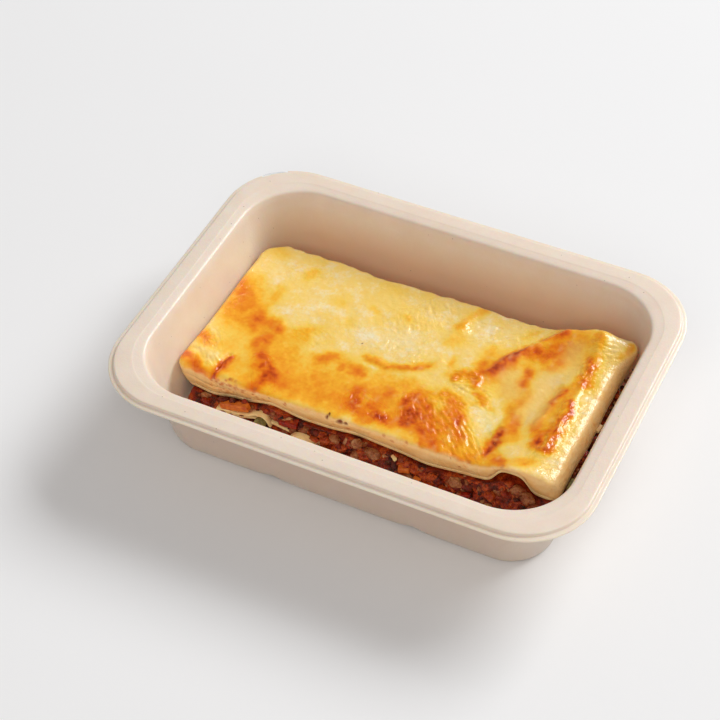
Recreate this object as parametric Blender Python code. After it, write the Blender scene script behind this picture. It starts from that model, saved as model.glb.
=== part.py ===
"""A portion of lasagne in a moulded fibre ready meal tray.

Sizes and places are in millimetres and become metres when a mesh is made. +X runs along the tray's long
side, +Y to the side away from the cut front of the food, +Z up. The origin is the middle of the underside.
"""

import math
import random

import bmesh
import bpy
from mathutils import Euler, Matrix, Vector, noise

MM = 0.001
TOUCHING_GAP = 0.35  # what resting neighbours keep between them

# Tray: its outline at the thin outer lip, and how high that lip lies
LIP_LENGTH = 187.0
LIP_WIDTH = 137.0
LIP_HEIGHT = 37.5
CORNER_STEPS = 7

# Tray section from the underside, out and up to the lip, then in and down to the floor:
# inset from the lip outline, height, corner radius, share of the rib height taken here
TRAY_SECTION = (
    (19.6, 0.0, 14.4, 1.0),
    (18.0, 0.3, 15.9, 1.0),
    (17.2, 1.5, 16.6, 0.75),
    (16.4, 5.5, 17.3, 0.0),
    (11.0, 35.2, 22.6, 0.0),
    (9.6, 36.9, 24.0, 0.0),
    (3.0, 37.5, 24.2, 0.0),
    (2.3, 36.8, 24.7, 0.0),
    (0.2, 36.8, 26.7, 0.0),
    (0.0, 37.2, 26.9, 0.0),
    (0.3, 37.5, 26.6, 0.0),
    (1.5, 37.6, 25.5, 0.0),
    (2.1, 38.5, 24.9, 0.0),
    (3.2, 38.8, 23.9, 0.0),
    (7.3, 38.8, 23.6, 0.0),
    (9.7, 38.4, 23.5, 0.0),
    (10.9, 37.8, 23.2, 0.0),
    (11.7, 36.5, 22.6, 0.0),
    (12.0, 34.9, 22.4, 0.0),
    (17.4, 5.2, 16.9, 0.0),
    (18.4, 2.6, 16.0, 0.5),
    (20.8, 1.4, 13.6, 1.0),
)
INNER_WALL_TOP = TRAY_SECTION[18]
INNER_WALL_FOOT = TRAY_SECTION[19]

# Two ribs pressed across the tray's underside, which lift the floor above them
RIB_PLACES = (-27.5, 29.0)
RIB_HALF_WIDTH = 6.2
RIB_HEIGHT = 1.6
RIB_STEPS = 4

# Torn place in the outer lip, at the corner behind the left end
TEAR_FROM = (-87.6, 58.6)
TEAR_TO = (-79.2, 64.8)
TEAR_DEPTH = 2.1
TEAR_NOTCH = 0.72  # share of the depth between the teeth
TEAR_TEETH = 6
TEAR_OUTSIDE = 6.0  # how far the cut runs on past the lip
TEAR_BOTTOM = LIP_HEIGHT - 3.0
TEAR_TOP = LIP_HEIGHT + 0.7

# Lasagne portion: the slab's outline in plan, with its corner radii
SLAB_LEFT = -77.0
SLAB_RIGHT = 75.3
SLAB_FRONT = -30.9
SLAB_BACK = 42.4
SLAB_RADII = {"front_left": 4.0, "front_right": 3.5, "back_right": 3.0, "back_left": 9.0}
SLAB_WAVE = (0.6, 13.0, 1.0)  # how far its edge wavers, over what length, and the layer of noise
SLAB_CELL = 5.4
SLAB_EDGE_ROUND = 2.6

# Stretches of the slab's back edge that stand out or lie back: middle, half width, reach
BACK_BULGES = (
    (73.5, 4.5, 2.0),
    (62.0, 9.0, 1.9),
    (18.0, 7.0, 0.6),
    (-58.0, 9.0, 0.7),
    (-28.0, 9.0, -0.8),
)

# The top of the slab's left end leans out to the tray's wall near the front
LEFT_LEAN = 1.2
LEFT_LEAN_MIDDLE = -24.0
LEFT_LEAN_HALF_WIDTH = 12.0

# Its right end slants out towards its foot, but for the back corner, which stands out at the top
FOOT_OUT = 1.6
RIGHT_TOP_IN = 2.2
BACK_CORNER_OUT = 1.7
BACK_CORNER_MIDDLE = 41.0
BACK_CORNER_HALF_WIDTH = 7.0
FRONT_FOOT_FROM = 62.0  # right of here the front's foot lies further out too
FRONT_FOOT_TO = 71.0

# Side of the white sauce, as rings from its top edge down: how far out of the plan, share of the height
WHITE_SAUCE_SIDE = (
    (-SLAB_EDGE_ROUND, 1.0),
    (-0.55 * SLAB_EDGE_ROUND, 0.975),
    (-0.15 * SLAB_EDGE_ROUND, 0.89),
    (0.0, 0.74),
    (-0.3, 0.35),
    (-1.0, 0.06),
    (-1.6, 0.0),
)
TOP_SHEET_INSET = 1.2
TOP_SHEET_SIDE = ((-0.4, 1.0), (0.0, 0.5), (-0.4, 0.0))

# Heights in the slab: its top, low on the left and raised on the right, and its sloping underside
TOP_LEFT = 20.9
TOP_SLOPE = 0.5
RAISE_FROM = 36.0
RAISE_TO = 68.0
RAISE_HEIGHT = 4.2
UNDERSIDE_LEFT = 9.0
UNDERSIDE_RIGHT = 15.5
TOP_SHEET_THICKNESS = 2.0

# Swells of the baked top: middle, half length, half width, heading in degrees, height
TOP_SWELLS = (
    ((62.0, 41.0), 14.0, 9.0, 0.0, 3.2),
    ((40.0, 26.0), 19.0, 4.5, 52.0, 1.6),
    ((65.0, -6.0), 16.0, 3.5, 90.0, 1.4),
    ((46.0, -14.0), 12.0, 2.6, 84.0, 1.2),
    ((24.0, -16.0), 13.0, 9.0, 20.0, 1.0),
    ((12.0, 31.0), 11.0, 2.8, 80.0, 0.7),
    ((-46.0, -18.0), 12.0, 6.0, 10.0, 0.6),
    ((-70.0, -24.0), 8.0, 5.0, 30.0, 0.9),
    ((55.0, 10.0), 15.0, 4.0, 80.0, -1.3),
    ((37.0, -12.0), 9.0, 4.0, 75.0, -0.9),
    ((-61.0, -26.0), 7.0, 1.8, 70.0, -0.9),
    ((57.5, -31.0), 9.0, 7.0, 0.0, 2.2),
)
TOP_RIPPLE = 0.35
TOP_RIPPLE_LENGTH = 9.0

# Rises and dips of the bed that the slab lies on: middle, half width, height
BED_SWELLS = (
    (-64.0, 7.0, -1.7),
    (-38.0, 9.0, 3.0),
    (-5.0, 7.0, 1.2),
    (28.0, 14.0, -2.7),
    (73.0, 7.0, 1.3),
)

# Arched hollow under the slab's front edge, partly filled with mince
ARCH_MIDDLE = 57.3
ARCH_HALF_WIDTH = 6.7
ARCH_HEIGHT = 7.0
ARCH_DEPTH_FROM = -6.0
ARCH_DEPTH_TO = -27.0
ARCH_FILL = 0.5

# Meat sauce and the pasta sheet in it
FLOOR_TOP = 1.4
FILLET_TOP = 5.2  # where the tray's inner wall starts to curve into its floor
SAUCE_LEFT = -71.5
SAUCE_RIGHT = 75.4
SAUCE_FRONT = -32.2
SAUCE_BACK = 41.0
SAUCE_RADII = {"front_left": 7.0, "front_right": 12.0, "back_right": 15.0, "back_left": 9.0}
SAUCE_WAVE = (0.7, 11.0, 5.0)
SAUCE_CELL = 7.0
UPPER_SAUCE_SPREAD = -0.6
UPPER_SAUCE_SIDE = ((-0.6, 1.0), (0.0, 0.75), (0.2, 0.3), (-0.4, 0.0))
LOWER_SAUCE_SPREAD = 1.2
LOWER_SAUCE_SIDE = ((-0.6, 1.0), (-0.1, 0.8), (-1.1, 0.35), (-3.6, 0.0))
LOWER_TOE = 2.6  # how much further the lower sauce has run out at the cut front
MID_SHEET_HEIGHT = 6.2
MID_SHEET_WAVE = 1.5
MID_SHEET_WAVE_LENGTH = 34.0
MID_SHEET_WAVE_START = -47.0
MID_SHEET_DROP = 2.6  # how far its left end comes down
MID_SHEET_DROP_FROM = -54.0
MID_SHEET_DROP_TO = -66.0
MID_SHEET_THICKNESS = 1.2
MID_SHEET_UNEVEN = 0.3
MID_SHEET_UNEVEN_LENGTH = 20.0
MID_SHEET_SPREAD = 0.6
MID_SHEET_SIDE = ((0.0, 1.0), (0.35, 0.5), (0.0, 0.0))

# Minced meat that stands out of the sauce's sides
CRUMB_SMALL = 1.5
CRUMB_LARGE = 2.6
CRUMB_SPACING = 8.4
CRUMB_LEAST = 0.8  # below this radius a crumb is left out
CRUMB_SINK = 0.25  # how deep its middle lies in the side, as a share of its radius
CRUMB_LENGTHS = (0.8, 1.35)
CRUMB_WIDTHS = (0.8, 1.2)
CRUMB_HEIGHTS = (0.75, 1.0)
CRUMB_ROUGH = 0.12
CRUMB_TALLEST = 1.05  # what its roughness can make of its half height, as a share of its radius
CRUMB_WIDEST = 1.5
CRUMB_SHIFT = 0.8
CRUMB_SEED = 11
FILLET_SPREAD = 0.8  # how much the tray's wall comes in for each millimetre below the fillet's top

# Bits in the sauce that show at the cut front and at the right end: middle, size, turns in degrees about x, y, z
CUT_BITS = {
    "carrot_piece": ((-52.0, -32.9, 10.4), (12.6, 3.0, 2.8), (-4.0, -18.0, -2.0)),
    "carrot_dice": ((17.0, -32.4, 8.9), (4.4, 3.6, 2.8), (6.0, 0.0, 18.0)),
    "tomato_piece": ((-30.0, -31.8, 10.6), (7.2, 3.8, 2.2), (-5.0, 0.0, 6.0)),
    "olive_piece": ((77.0, -22.5, 17.2), (1.7, 5.4, 4.2), (0.0, 0.0, 0.0)),
}
BIT_BEVEL = 0.22  # share of the smallest side
OLIVE_SLICE_PLACE = (-40.4, -35.2, 8.8)
OLIVE_SLICE_RADIUS = 2.3
OLIVE_SLICE_THICKNESS = 2.2
OLIVE_SLICE_TAPER = 0.94
OLIVE_SLICE_SIDES = 12
OLIVE_SLICE_TILT = 78.0
FOLD_PLACE = (-23.4, -34.8, 5.0)
FOLD_RADIUS = 4.6
FOLD_STRETCH = 1.2
FOLD_THICKNESS = 1.1
FOLD_WIDTH = 2.6
FOLD_FROM = -6.0
FOLD_TO = 186.0
FOLD_STEPS = 8

# Colours and roughness of the materials
FIBRE = ("moulded fibre", (0.80, 0.70, 0.60), 0.85)
BAKED_TOP = ("baked white sauce", (0.87, 0.58, 0.22), 0.35)
PASTA = ("pasta", (0.84, 0.68, 0.42), 0.45)
MEAT_SAUCE = ("meat sauce", (0.23, 0.08, 0.04), 0.40)
CARROT = ("carrot", (0.78, 0.27, 0.05), 0.40)
TOMATO = ("tomato", (0.55, 0.07, 0.03), 0.30)
GREEN_OLIVE = ("green olive", (0.36, 0.31, 0.12), 0.35)


def clear_scene():
    for obj in list(bpy.data.objects):
        bpy.data.objects.remove(obj, do_unlink=True)


def smoothstep(start, end, value):
    share = min(max((value - start) / (end - start), 0.0), 1.0)
    return share * share * (3.0 - 2.0 * share)


def waver(x, y, length, layer):
    """Smooth noise between about -1 and 1 that varies over the given length."""
    return noise.noise(Vector((x / length, y / length, layer)))


def make_material(finish):
    name, colour, roughness = finish
    material = bpy.data.materials.new(name)
    material.use_nodes = True
    shader = material.node_tree.nodes["Principled BSDF"]
    shader.inputs["Base Color"].default_value = (*colour, 1.0)
    shader.inputs["Roughness"].default_value = roughness
    shader.inputs["Metallic"].default_value = 0.0
    return material


def object_from(bm, name, finish, smooth_angle=40.0):
    """Turns a mesh in millimetres into a named object in metres, with its faces pointing out."""
    bmesh.ops.scale(bm, vec=(MM, MM, MM), verts=bm.verts)
    bmesh.ops.recalc_face_normals(bm, faces=bm.faces)
    mesh = bpy.data.meshes.new(name)
    bm.to_mesh(mesh)
    bm.free()
    mesh.shade_smooth()
    mesh.set_sharp_from_angle(angle=math.radians(smooth_angle))
    obj = bpy.data.objects.new(name, mesh)
    obj.data.materials.append(make_material(finish))
    bpy.context.scene.collection.objects.link(obj)
    return obj


def combine(obj, others, operation):
    """Joins or cuts one object with a collection of others, which are then removed."""
    group = bpy.data.collections.new("helpers")
    bpy.context.scene.collection.children.link(group)
    for other in others:
        bpy.context.scene.collection.objects.unlink(other)
        group.objects.link(other)
    boolean = obj.modifiers.new("combine", "BOOLEAN")
    boolean.operation = operation
    boolean.solver = "EXACT"
    boolean.operand_type = "COLLECTION"
    boolean.collection = group
    graph = bpy.context.evaluated_depsgraph_get()
    combined = bpy.data.meshes.new_from_object(obj.evaluated_get(graph))
    obj.modifiers.clear()
    obj.data = combined
    for other in list(group.objects):
        bpy.data.objects.remove(other, do_unlink=True)
    bpy.data.collections.remove(group)


# Moulded fibre tray


def rib_lift(x):
    """Height of the pressed ribs under the floor at this place along the tray."""
    lift = 0.0
    for place in RIB_PLACES:
        across = abs(x - place) / RIB_HALF_WIDTH
        if across < 1.0:
            lift += RIB_HEIGHT * 0.5 * (1.0 + math.cos(math.pi * across))
    return lift


def long_side_stations():
    """Places along the long sides that carry the ribs' shape."""
    places = [0.0]
    for rib in RIB_PLACES:
        for step in range(RIB_STEPS + 1):
            places.append(rib + RIB_HALF_WIDTH * (2.0 * step / RIB_STEPS - 1.0))
    return sorted(places)


def tray_loop(inset, height, radius, rib_share):
    """Points round the tray at one line of its section, counterclockwise from the front side's left end."""
    half_length = LIP_LENGTH / 2.0 - inset
    half_width = LIP_WIDTH / 2.0 - inset
    stations = long_side_stations()
    plan = [(x, -half_width) for x in stations]
    corners = (
        (half_length - radius, radius - half_width, -90.0),
        (half_length - radius, half_width - radius, 0.0),
        (radius - half_length, half_width - radius, 90.0),
        (radius - half_length, radius - half_width, 180.0),
    )
    for index, (centre_x, centre_y, start) in enumerate(corners):
        for step in range(CORNER_STEPS + 1):
            angle = math.radians(start + 90.0 * step / CORNER_STEPS)
            plan.append((centre_x + radius * math.cos(angle), centre_y + radius * math.sin(angle)))
        if index == 0:
            plan.append((half_length, 0.0))
        if index == 1:
            plan.extend((x, half_width) for x in reversed(stations))
        if index == 2:
            plan.append((-half_length, 0.0))
    return [Vector((x, y, height + rib_share * rib_lift(x))) for x, y in plan]


def ladder_fill(bm, ring):
    """Fills a loop with strips between points that face each other across the tray."""
    stations = len(long_side_stations())
    middle_right = stations + CORNER_STEPS + 1
    middle_left = middle_right + stations + 2 * (CORNER_STEPS + 1) + 1
    bm.faces.new([ring[middle_right + step] for step in (-2, -1, 0, 1, 2)])
    front = middle_right - 2
    back = middle_right + 2
    while back + 2 != middle_left:
        next_front = (front - 1) % len(ring)
        next_back = back + 1
        bm.faces.new((ring[next_front], ring[front], ring[back], ring[next_back]))
        front = next_front
        back = next_back
    bm.faces.new([ring[middle_left + step] for step in (-2, -1, 0, 1, 2)])


def lip_tear():
    """Ragged bite that takes a short stretch off the thin outer lip."""
    start = Vector((*TEAR_FROM, 0.0))
    along = Vector((*TEAR_TO, 0.0)) - start
    inward = Vector((along.y, -along.x, 0.0)).normalized()
    outline = [start - inward * TEAR_OUTSIDE]
    for tooth in range(TEAR_TEETH + 1):
        share = tooth / TEAR_TEETH
        depth = TEAR_DEPTH * (1.0 if tooth % 2 else TEAR_NOTCH)
        if tooth in (0, TEAR_TEETH):
            depth *= TEAR_NOTCH
        outline.append(start + along * share + inward * depth)
    outline.append(start + along - inward * TEAR_OUTSIDE)
    bm = bmesh.new()
    low = [bm.verts.new((point.x, point.y, TEAR_BOTTOM)) for point in outline]
    high = [bm.verts.new((point.x, point.y, TEAR_TOP)) for point in outline]
    bm.faces.new(low)
    bm.faces.new(high)
    for index in range(len(outline)):
        after = (index + 1) % len(outline)
        bm.faces.new((low[index], low[after], high[after], high[index]))
    return object_from(bm, "lip_tear", FIBRE)


def make_tray():
    bm = bmesh.new()
    loops = [[bm.verts.new(point) for point in tray_loop(*section)] for section in TRAY_SECTION]
    for lower, upper in zip(loops, loops[1:]):
        for index in range(len(lower)):
            after = (index + 1) % len(lower)
            bm.faces.new((lower[index], lower[after], upper[after], upper[index]))
    ladder_fill(bm, loops[0])
    ladder_fill(bm, loops[-1])
    tray = object_from(bm, "tray", FIBRE)
    combine(tray, [lip_tear()], "DIFFERENCE")
    return tray


# Layers of the portion


def top_height(x, y):
    """Height of the baked top, with its swells and small ripples."""
    height = TOP_LEFT + TOP_SLOPE * (x - SLAB_LEFT) / (SLAB_RIGHT - SLAB_LEFT)
    height += RAISE_HEIGHT * smoothstep(RAISE_FROM, RAISE_TO, x)
    for (middle_x, middle_y), half_length, half_width, heading, swell in TOP_SWELLS:
        turn = math.radians(heading)
        along = (x - middle_x) * math.cos(turn) + (y - middle_y) * math.sin(turn)
        across = (y - middle_y) * math.cos(turn) - (x - middle_x) * math.sin(turn)
        height += swell * math.exp(-((along / half_length) ** 2) - (across / half_width) ** 2)
    return height + TOP_RIPPLE * waver(x, y, TOP_RIPPLE_LENGTH, 3.0)


def bed_height(x):
    """Height of the bed of meat sauce that the slab lies on."""
    share = (x - SLAB_LEFT) / (SLAB_RIGHT - SLAB_LEFT)
    height = UNDERSIDE_LEFT + (UNDERSIDE_RIGHT - UNDERSIDE_LEFT) * share
    for middle, half_width, swell in BED_SWELLS:
        height += swell * math.exp(-(((x - middle) / half_width) ** 2))
    return height


def arch_rise(x, y):
    """How far the slab arches clear of the bed near its front edge."""
    arch = math.exp(-(((x - ARCH_MIDDLE) / ARCH_HALF_WIDTH) ** 4))
    return ARCH_HEIGHT * arch * smoothstep(ARCH_DEPTH_FROM, ARCH_DEPTH_TO, y)


def underside(x, y):
    """Height of the slab's lowest face."""
    return bed_height(x) + arch_rise(x, y)


def sheet_split(x, y):
    """Height of the joint between the white sauce and the pasta sheet under it."""
    return underside(x, y) + TOP_SHEET_THICKNESS


def mid_sheet_bottom(x, y):
    phase = 2.0 * math.pi * (x - MID_SHEET_WAVE_START) / MID_SHEET_WAVE_LENGTH
    uneven = MID_SHEET_UNEVEN * waver(x, y, MID_SHEET_UNEVEN_LENGTH, 8.0)
    drop = MID_SHEET_DROP * smoothstep(MID_SHEET_DROP_FROM, MID_SHEET_DROP_TO, x)
    return MID_SHEET_HEIGHT + MID_SHEET_WAVE * math.sin(phase) + uneven - drop


def mid_sheet_top(x, y):
    return mid_sheet_bottom(x, y) + MID_SHEET_THICKNESS


def upper_sauce_top(x, y):
    return bed_height(x) + ARCH_FILL * arch_rise(x, y) - TOUCHING_GAP


def sauce_floor(x, y):
    """Height just over the tray's floor, with a broad rise over each rib that a coarse grid can follow."""
    lift = 0.0
    for place in RIB_PLACES:
        lift += 1.0 - smoothstep(RIB_HALF_WIDTH / 2.0, RIB_HALF_WIDTH + SAUCE_CELL, abs(x - place))
    return FLOOR_TOP + RIB_HEIGHT * lift + TOUCHING_GAP


class Plan:
    """A rectangle with rounded, slightly wavering edges, seen from above."""

    def __init__(self, left, right, front, back, radii, wave, back_bulges=()):
        self.centre = ((left + right) / 2.0, (front + back) / 2.0)
        self.half = ((right - left) / 2.0, (back - front) / 2.0)
        self.radii = radii
        self.wave, self.wave_length, self.wave_layer = wave
        self.back_bulges = back_bulges

    def point(self, across, along, grow):
        """Place of a share (-1 to 1) of the width and of the depth, on the plan grown by a distance."""
        half_x = self.half[0] + grow
        half_y = self.half[1] + grow
        end = "front" if along < 0.0 else "back"
        side = "left" if across < 0.0 else "right"
        radius = max(self.radii[end + "_" + side] + grow, 0.2)
        x = abs(across) * half_x
        y = abs(along) * half_y
        corner_x = half_x - radius
        corner_y = half_y - radius
        if x > corner_x and y > corner_y:
            share_x = (x - corner_x) / radius
            share_y = (y - corner_y) / radius
            x = corner_x + radius * share_x * math.sqrt(1.0 - share_y * share_y / 2.0)
            y = corner_y + radius * share_y * math.sqrt(1.0 - share_x * share_x / 2.0)
        x = self.centre[0] + math.copysign(x, across)
        y = self.centre[1] + math.copysign(y, along)
        for middle, half_width, reach in self.back_bulges:
            y += reach * max(along, 0.0) ** 4 * math.exp(-(((x - middle) / half_width) ** 2))
        shift_x = self.wave * waver(x, y, self.wave_length, self.wave_layer)
        shift_y = self.wave * waver(x, y, self.wave_length, self.wave_layer + 40.0)
        return x + shift_x, y + shift_y


def slab_lean(across, along, x, y, share):
    """How far a place in the slab is carried out of its plan, for a share of the height from its foot."""
    near = math.exp(-(((y - LEFT_LEAN_MIDDLE) / LEFT_LEAN_HALF_WIDTH) ** 2))
    left = LEFT_LEAN * near * share
    corner = math.exp(-(((y - BACK_CORNER_MIDDLE) / BACK_CORNER_HALF_WIDTH) ** 2))
    top_out = (RIGHT_TOP_IN + BACK_CORNER_OUT) * corner - RIGHT_TOP_IN
    right = FOOT_OUT * (1.0 - share) + top_out * share
    front = FOOT_OUT * (1.0 - share) * smoothstep(FRONT_FOOT_FROM, FRONT_FOOT_TO, x)
    shift_x = right * max(across, 0.0) ** 6 - left * max(-across, 0.0) ** 6
    return shift_x, -front * max(-along, 0.0) ** 6


def foot_lean(across, along, x, y, share):
    """The same for the sheet under the slab's foot."""
    return slab_lean(across, along, x, y, 0.0)


def make_layer(name, plan, cell, top, bottom, side, finish, lean=None):
    """A closed layer: a grid on top, a grid below, and rings down its side.

    side lists the rings: how far out of the grids' edge, and the share of the height, from 1 at the top.
    lean says how far each place is carried out of the plan.
    """
    columns = round(2.0 * plan.half[0] / cell)
    rows = round(2.0 * plan.half[1] / cell)
    top_grow = side[0][0]
    bottom_grow = side[-1][0]

    def place(column, row, grow, share):
        across = 2.0 * column / columns - 1.0
        along = 2.0 * row / rows - 1.0
        x, y = plan.point(across, along, grow)
        if lean:
            shift_x, shift_y = lean(across, along, x, y, share)
            x += shift_x
            y += shift_y
        return Vector((x, y, bottom(x, y) + (top(x, y) - bottom(x, y)) * share))

    bm = bmesh.new()
    cells = [(column, row) for column in range(columns + 1) for row in range(rows + 1)]
    high = {spot: bm.verts.new(place(*spot, top_grow, 1.0)) for spot in cells}
    low = {spot: bm.verts.new(place(*spot, bottom_grow, 0.0)) for spot in cells}
    for column in range(columns):
        for row in range(rows):
            square = ((column, row), (column + 1, row), (column + 1, row + 1), (column, row + 1))
            bm.faces.new([high[spot] for spot in square])
            bm.faces.new([low[spot] for spot in reversed(square)])
    rim = [(column, 0) for column in range(columns)]
    rim += [(columns, row) for row in range(rows)]
    rim += [(column, rows) for column in range(columns, 0, -1)]
    rim += [(0, row) for row in range(rows, 0, -1)]
    rings = [[high[spot] for spot in rim]]
    for grow, share in side[1:-1]:
        rings.append([bm.verts.new(place(*spot, grow, share)) for spot in rim])
    rings.append([low[spot] for spot in rim])
    for upper, lower in zip(rings, rings[1:]):
        for index in range(len(rim)):
            after = (index + 1) % len(rim)
            bm.faces.new((upper[index], lower[index], lower[after], upper[after]))
    bmesh.ops.triangulate(bm, faces=bm.faces)
    return object_from(bm, name, finish)


def slab_plan(inset=0.0):
    left = SLAB_LEFT + inset
    right = SLAB_RIGHT - inset
    front = SLAB_FRONT + inset
    back = SLAB_BACK - inset
    return Plan(left, right, front, back, SLAB_RADII, SLAB_WAVE, BACK_BULGES)


def sauce_plan(spread, toe=0.0):
    left = SAUCE_LEFT - spread
    front = SAUCE_FRONT - spread - toe
    return Plan(left, SAUCE_RIGHT, front, SAUCE_BACK + spread, SAUCE_RADII, SAUCE_WAVE)


def make_white_sauce():
    """Thick baked white sauce, rounded over at its top edge."""
    make_layer(
        "white_sauce_top",
        slab_plan(),
        SLAB_CELL,
        top_height,
        lambda x, y: sheet_split(x, y) + TOUCHING_GAP / 2.0,
        WHITE_SAUCE_SIDE,
        BAKED_TOP,
        lean=slab_lean,
    )


def make_top_sheet():
    make_layer(
        "pasta_sheet_top",
        slab_plan(TOP_SHEET_INSET),
        SLAB_CELL,
        lambda x, y: sheet_split(x, y) - TOUCHING_GAP / 2.0,
        underside,
        TOP_SHEET_SIDE,
        PASTA,
        lean=foot_lean,
    )


def make_mid_sheet():
    make_layer(
        "pasta_sheet_middle",
        sauce_plan(MID_SHEET_SPREAD),
        SAUCE_CELL,
        mid_sheet_top,
        mid_sheet_bottom,
        MID_SHEET_SIDE,
        PASTA,
    )


def make_crumb(centre, radius, draw):
    """One bit of minced meat: a squashed, uneven ball with few sides."""
    bm = bmesh.new()
    bmesh.ops.create_icosphere(bm, subdivisions=1, radius=radius)
    stretch = [draw.uniform(*limits) for limits in (CRUMB_LENGTHS, CRUMB_WIDTHS, CRUMB_HEIGHTS)]
    for vert in bm.verts:
        rough = draw.uniform(1.0 - CRUMB_ROUGH, 1.0 + CRUMB_ROUGH)
        vert.co = Vector(a * b for a, b in zip(vert.co, stretch)) * rough
    turn = Matrix.Rotation(draw.uniform(0.0, math.pi), 3, "Z")
    bmesh.ops.rotate(bm, verts=bm.verts, cent=(0.0, 0.0, 0.0), matrix=turn)
    bmesh.ops.translate(bm, verts=bm.verts, vec=centre)
    return object_from(bm, "crumb", MEAT_SAUCE)


def side_walk(plan, spacing):
    """Shares of the plan's width and depth, at even steps round its edge."""
    width = 2.0 * plan.half[0]
    depth = 2.0 * plan.half[1]
    count = round(2.0 * (width + depth) / spacing)
    for index in range(count):
        run = (index + 0.5) * 2.0 * (width + depth) / count
        if run < width:
            yield 2.0 * run / width - 1.0, -1.0
        elif run < width + depth:
            yield 1.0, 2.0 * (run - width) / depth - 1.0
        elif run < 2.0 * width + depth:
            yield 1.0 - 2.0 * (run - width - depth) / width, 1.0
        else:
            yield -1.0, 1.0 - 2.0 * (run - 2.0 * width - depth) / depth


def wall_clearance(x, y, z):
    """Distance from a point inside the tray to its slanting side wall."""
    low_inset, low_height, low_radius, _ = INNER_WALL_FOOT
    high_inset, high_height, high_radius, _ = INNER_WALL_TOP
    share = (z - low_height) / (high_height - low_height)
    inset = low_inset + (high_inset - low_inset) * share
    radius = low_radius + (high_radius - low_radius) * share
    over_x = abs(x) - (LIP_LENGTH / 2.0 - inset - radius)
    over_y = abs(y) - (LIP_WIDTH / 2.0 - inset - radius)
    outside = math.hypot(max(over_x, 0.0), max(over_y, 0.0)) + min(max(over_x, over_y), 0.0)
    return radius - outside


def make_crumbs(plan, low, high, draw):
    """Minced meat along a sauce layer's side, kept clear of the sheets above and below and of the tray."""
    crumbs = []
    for across, along in side_walk(plan, CRUMB_SPACING):
        radius = draw.uniform(CRUMB_SMALL, CRUMB_LARGE)
        x, y = plan.point(across, along, -CRUMB_SINK * radius)
        x += draw.uniform(-CRUMB_SHIFT, CRUMB_SHIFT)
        room = high(x, y) - low(x, y) - 2.0 * TOUCHING_GAP
        radius = min(radius, room / (2.0 * CRUMB_TALLEST))
        half_height = CRUMB_TALLEST * radius
        z = low(x, y) + TOUCHING_GAP + half_height + draw.random() * (room - 2.0 * half_height)
        clear = wall_clearance(x, y, z) - CRUMB_WIDEST * radius
        clear -= FILLET_SPREAD * max(FILLET_TOP + radius - z, 0.0)
        if radius > CRUMB_LEAST and clear > TOUCHING_GAP:
            crumbs.append(make_crumb((x, y, z), radius, draw))
    return crumbs


def make_sauce(name, plan, top, bottom, side, draw):
    sauce = make_layer(name, plan, SAUCE_CELL, top, bottom, side, MEAT_SAUCE)
    combine(sauce, make_crumbs(plan, bottom, top, draw), "UNION")
    return sauce


def make_sauce_layers(draw):
    upper = make_sauce(
        "meat_sauce_upper",
        sauce_plan(UPPER_SAUCE_SPREAD),
        upper_sauce_top,
        lambda x, y: mid_sheet_top(x, y) + TOUCHING_GAP,
        UPPER_SAUCE_SIDE,
        draw,
    )
    lower = make_sauce(
        "meat_sauce_lower",
        sauce_plan(LOWER_SAUCE_SPREAD, LOWER_TOE),
        lambda x, y: mid_sheet_bottom(x, y) - TOUCHING_GAP,
        sauce_floor,
        LOWER_SAUCE_SIDE,
        draw,
    )
    return upper, lower


# Bits of vegetable and pasta in the sauce


def make_bit(name, finish, grow=0.0):
    """A cut piece with bevelled edges; grow makes the pocket that it lies in."""
    middle, size, turns = CUT_BITS[name]
    bm = bmesh.new()
    bmesh.ops.create_cube(bm, size=1.0)
    bmesh.ops.scale(bm, verts=bm.verts, vec=[side + 2.0 * grow for side in size])
    width = BIT_BEVEL * min(size)
    bmesh.ops.bevel(bm, geom=bm.edges[:], offset=width, segments=1, affect="EDGES")
    turn = Euler([math.radians(angle) for angle in turns]).to_matrix()
    bmesh.ops.rotate(bm, verts=bm.verts, cent=(0.0, 0.0, 0.0), matrix=turn)
    bmesh.ops.translate(bm, verts=bm.verts, vec=middle)
    return object_from(bm, name, finish)


def make_olive_slice(name, grow=0.0):
    """A slice that stands on edge at the front, its round face outwards."""
    bm = bmesh.new()
    radius = OLIVE_SLICE_RADIUS + grow
    depth = OLIVE_SLICE_THICKNESS + 2.0 * grow
    bmesh.ops.create_cone(
        bm,
        cap_ends=True,
        segments=OLIVE_SLICE_SIDES,
        radius1=radius,
        radius2=radius * OLIVE_SLICE_TAPER,
        depth=depth,
    )
    turn = Matrix.Rotation(math.radians(OLIVE_SLICE_TILT), 3, "X")
    bmesh.ops.rotate(bm, verts=bm.verts, cent=(0.0, 0.0, 0.0), matrix=turn)
    bmesh.ops.translate(bm, verts=bm.verts, vec=OLIVE_SLICE_PLACE)
    return object_from(bm, name, GREEN_OLIVE)


def make_fold(name, grow=0.0):
    """The curled edge of a torn bit of pasta: an arched strip."""
    outer = FOLD_RADIUS + grow
    inner = FOLD_RADIUS - FOLD_THICKNESS - grow
    half = FOLD_WIDTH / 2.0 + grow
    bm = bmesh.new()
    sections = []
    for step in range(FOLD_STEPS + 1):
        angle = math.radians(FOLD_FROM + (FOLD_TO - FOLD_FROM) * step / FOLD_STEPS)
        corners = ((outer, -half), (outer, half), (inner, half), (inner, -half))
        section = []
        for radius, y in corners:
            place = Vector((FOLD_STRETCH * radius * math.cos(angle), y, radius * math.sin(angle)))
            section.append(bm.verts.new(place + Vector(FOLD_PLACE)))
        sections.append(section)
    for first, second in zip(sections, sections[1:]):
        for index in range(4):
            after = (index + 1) % 4
            bm.faces.new((first[index], first[after], second[after], second[index]))
    bm.faces.new(sections[0])
    bm.faces.new(sections[-1])
    return object_from(bm, name, PASTA)


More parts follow.
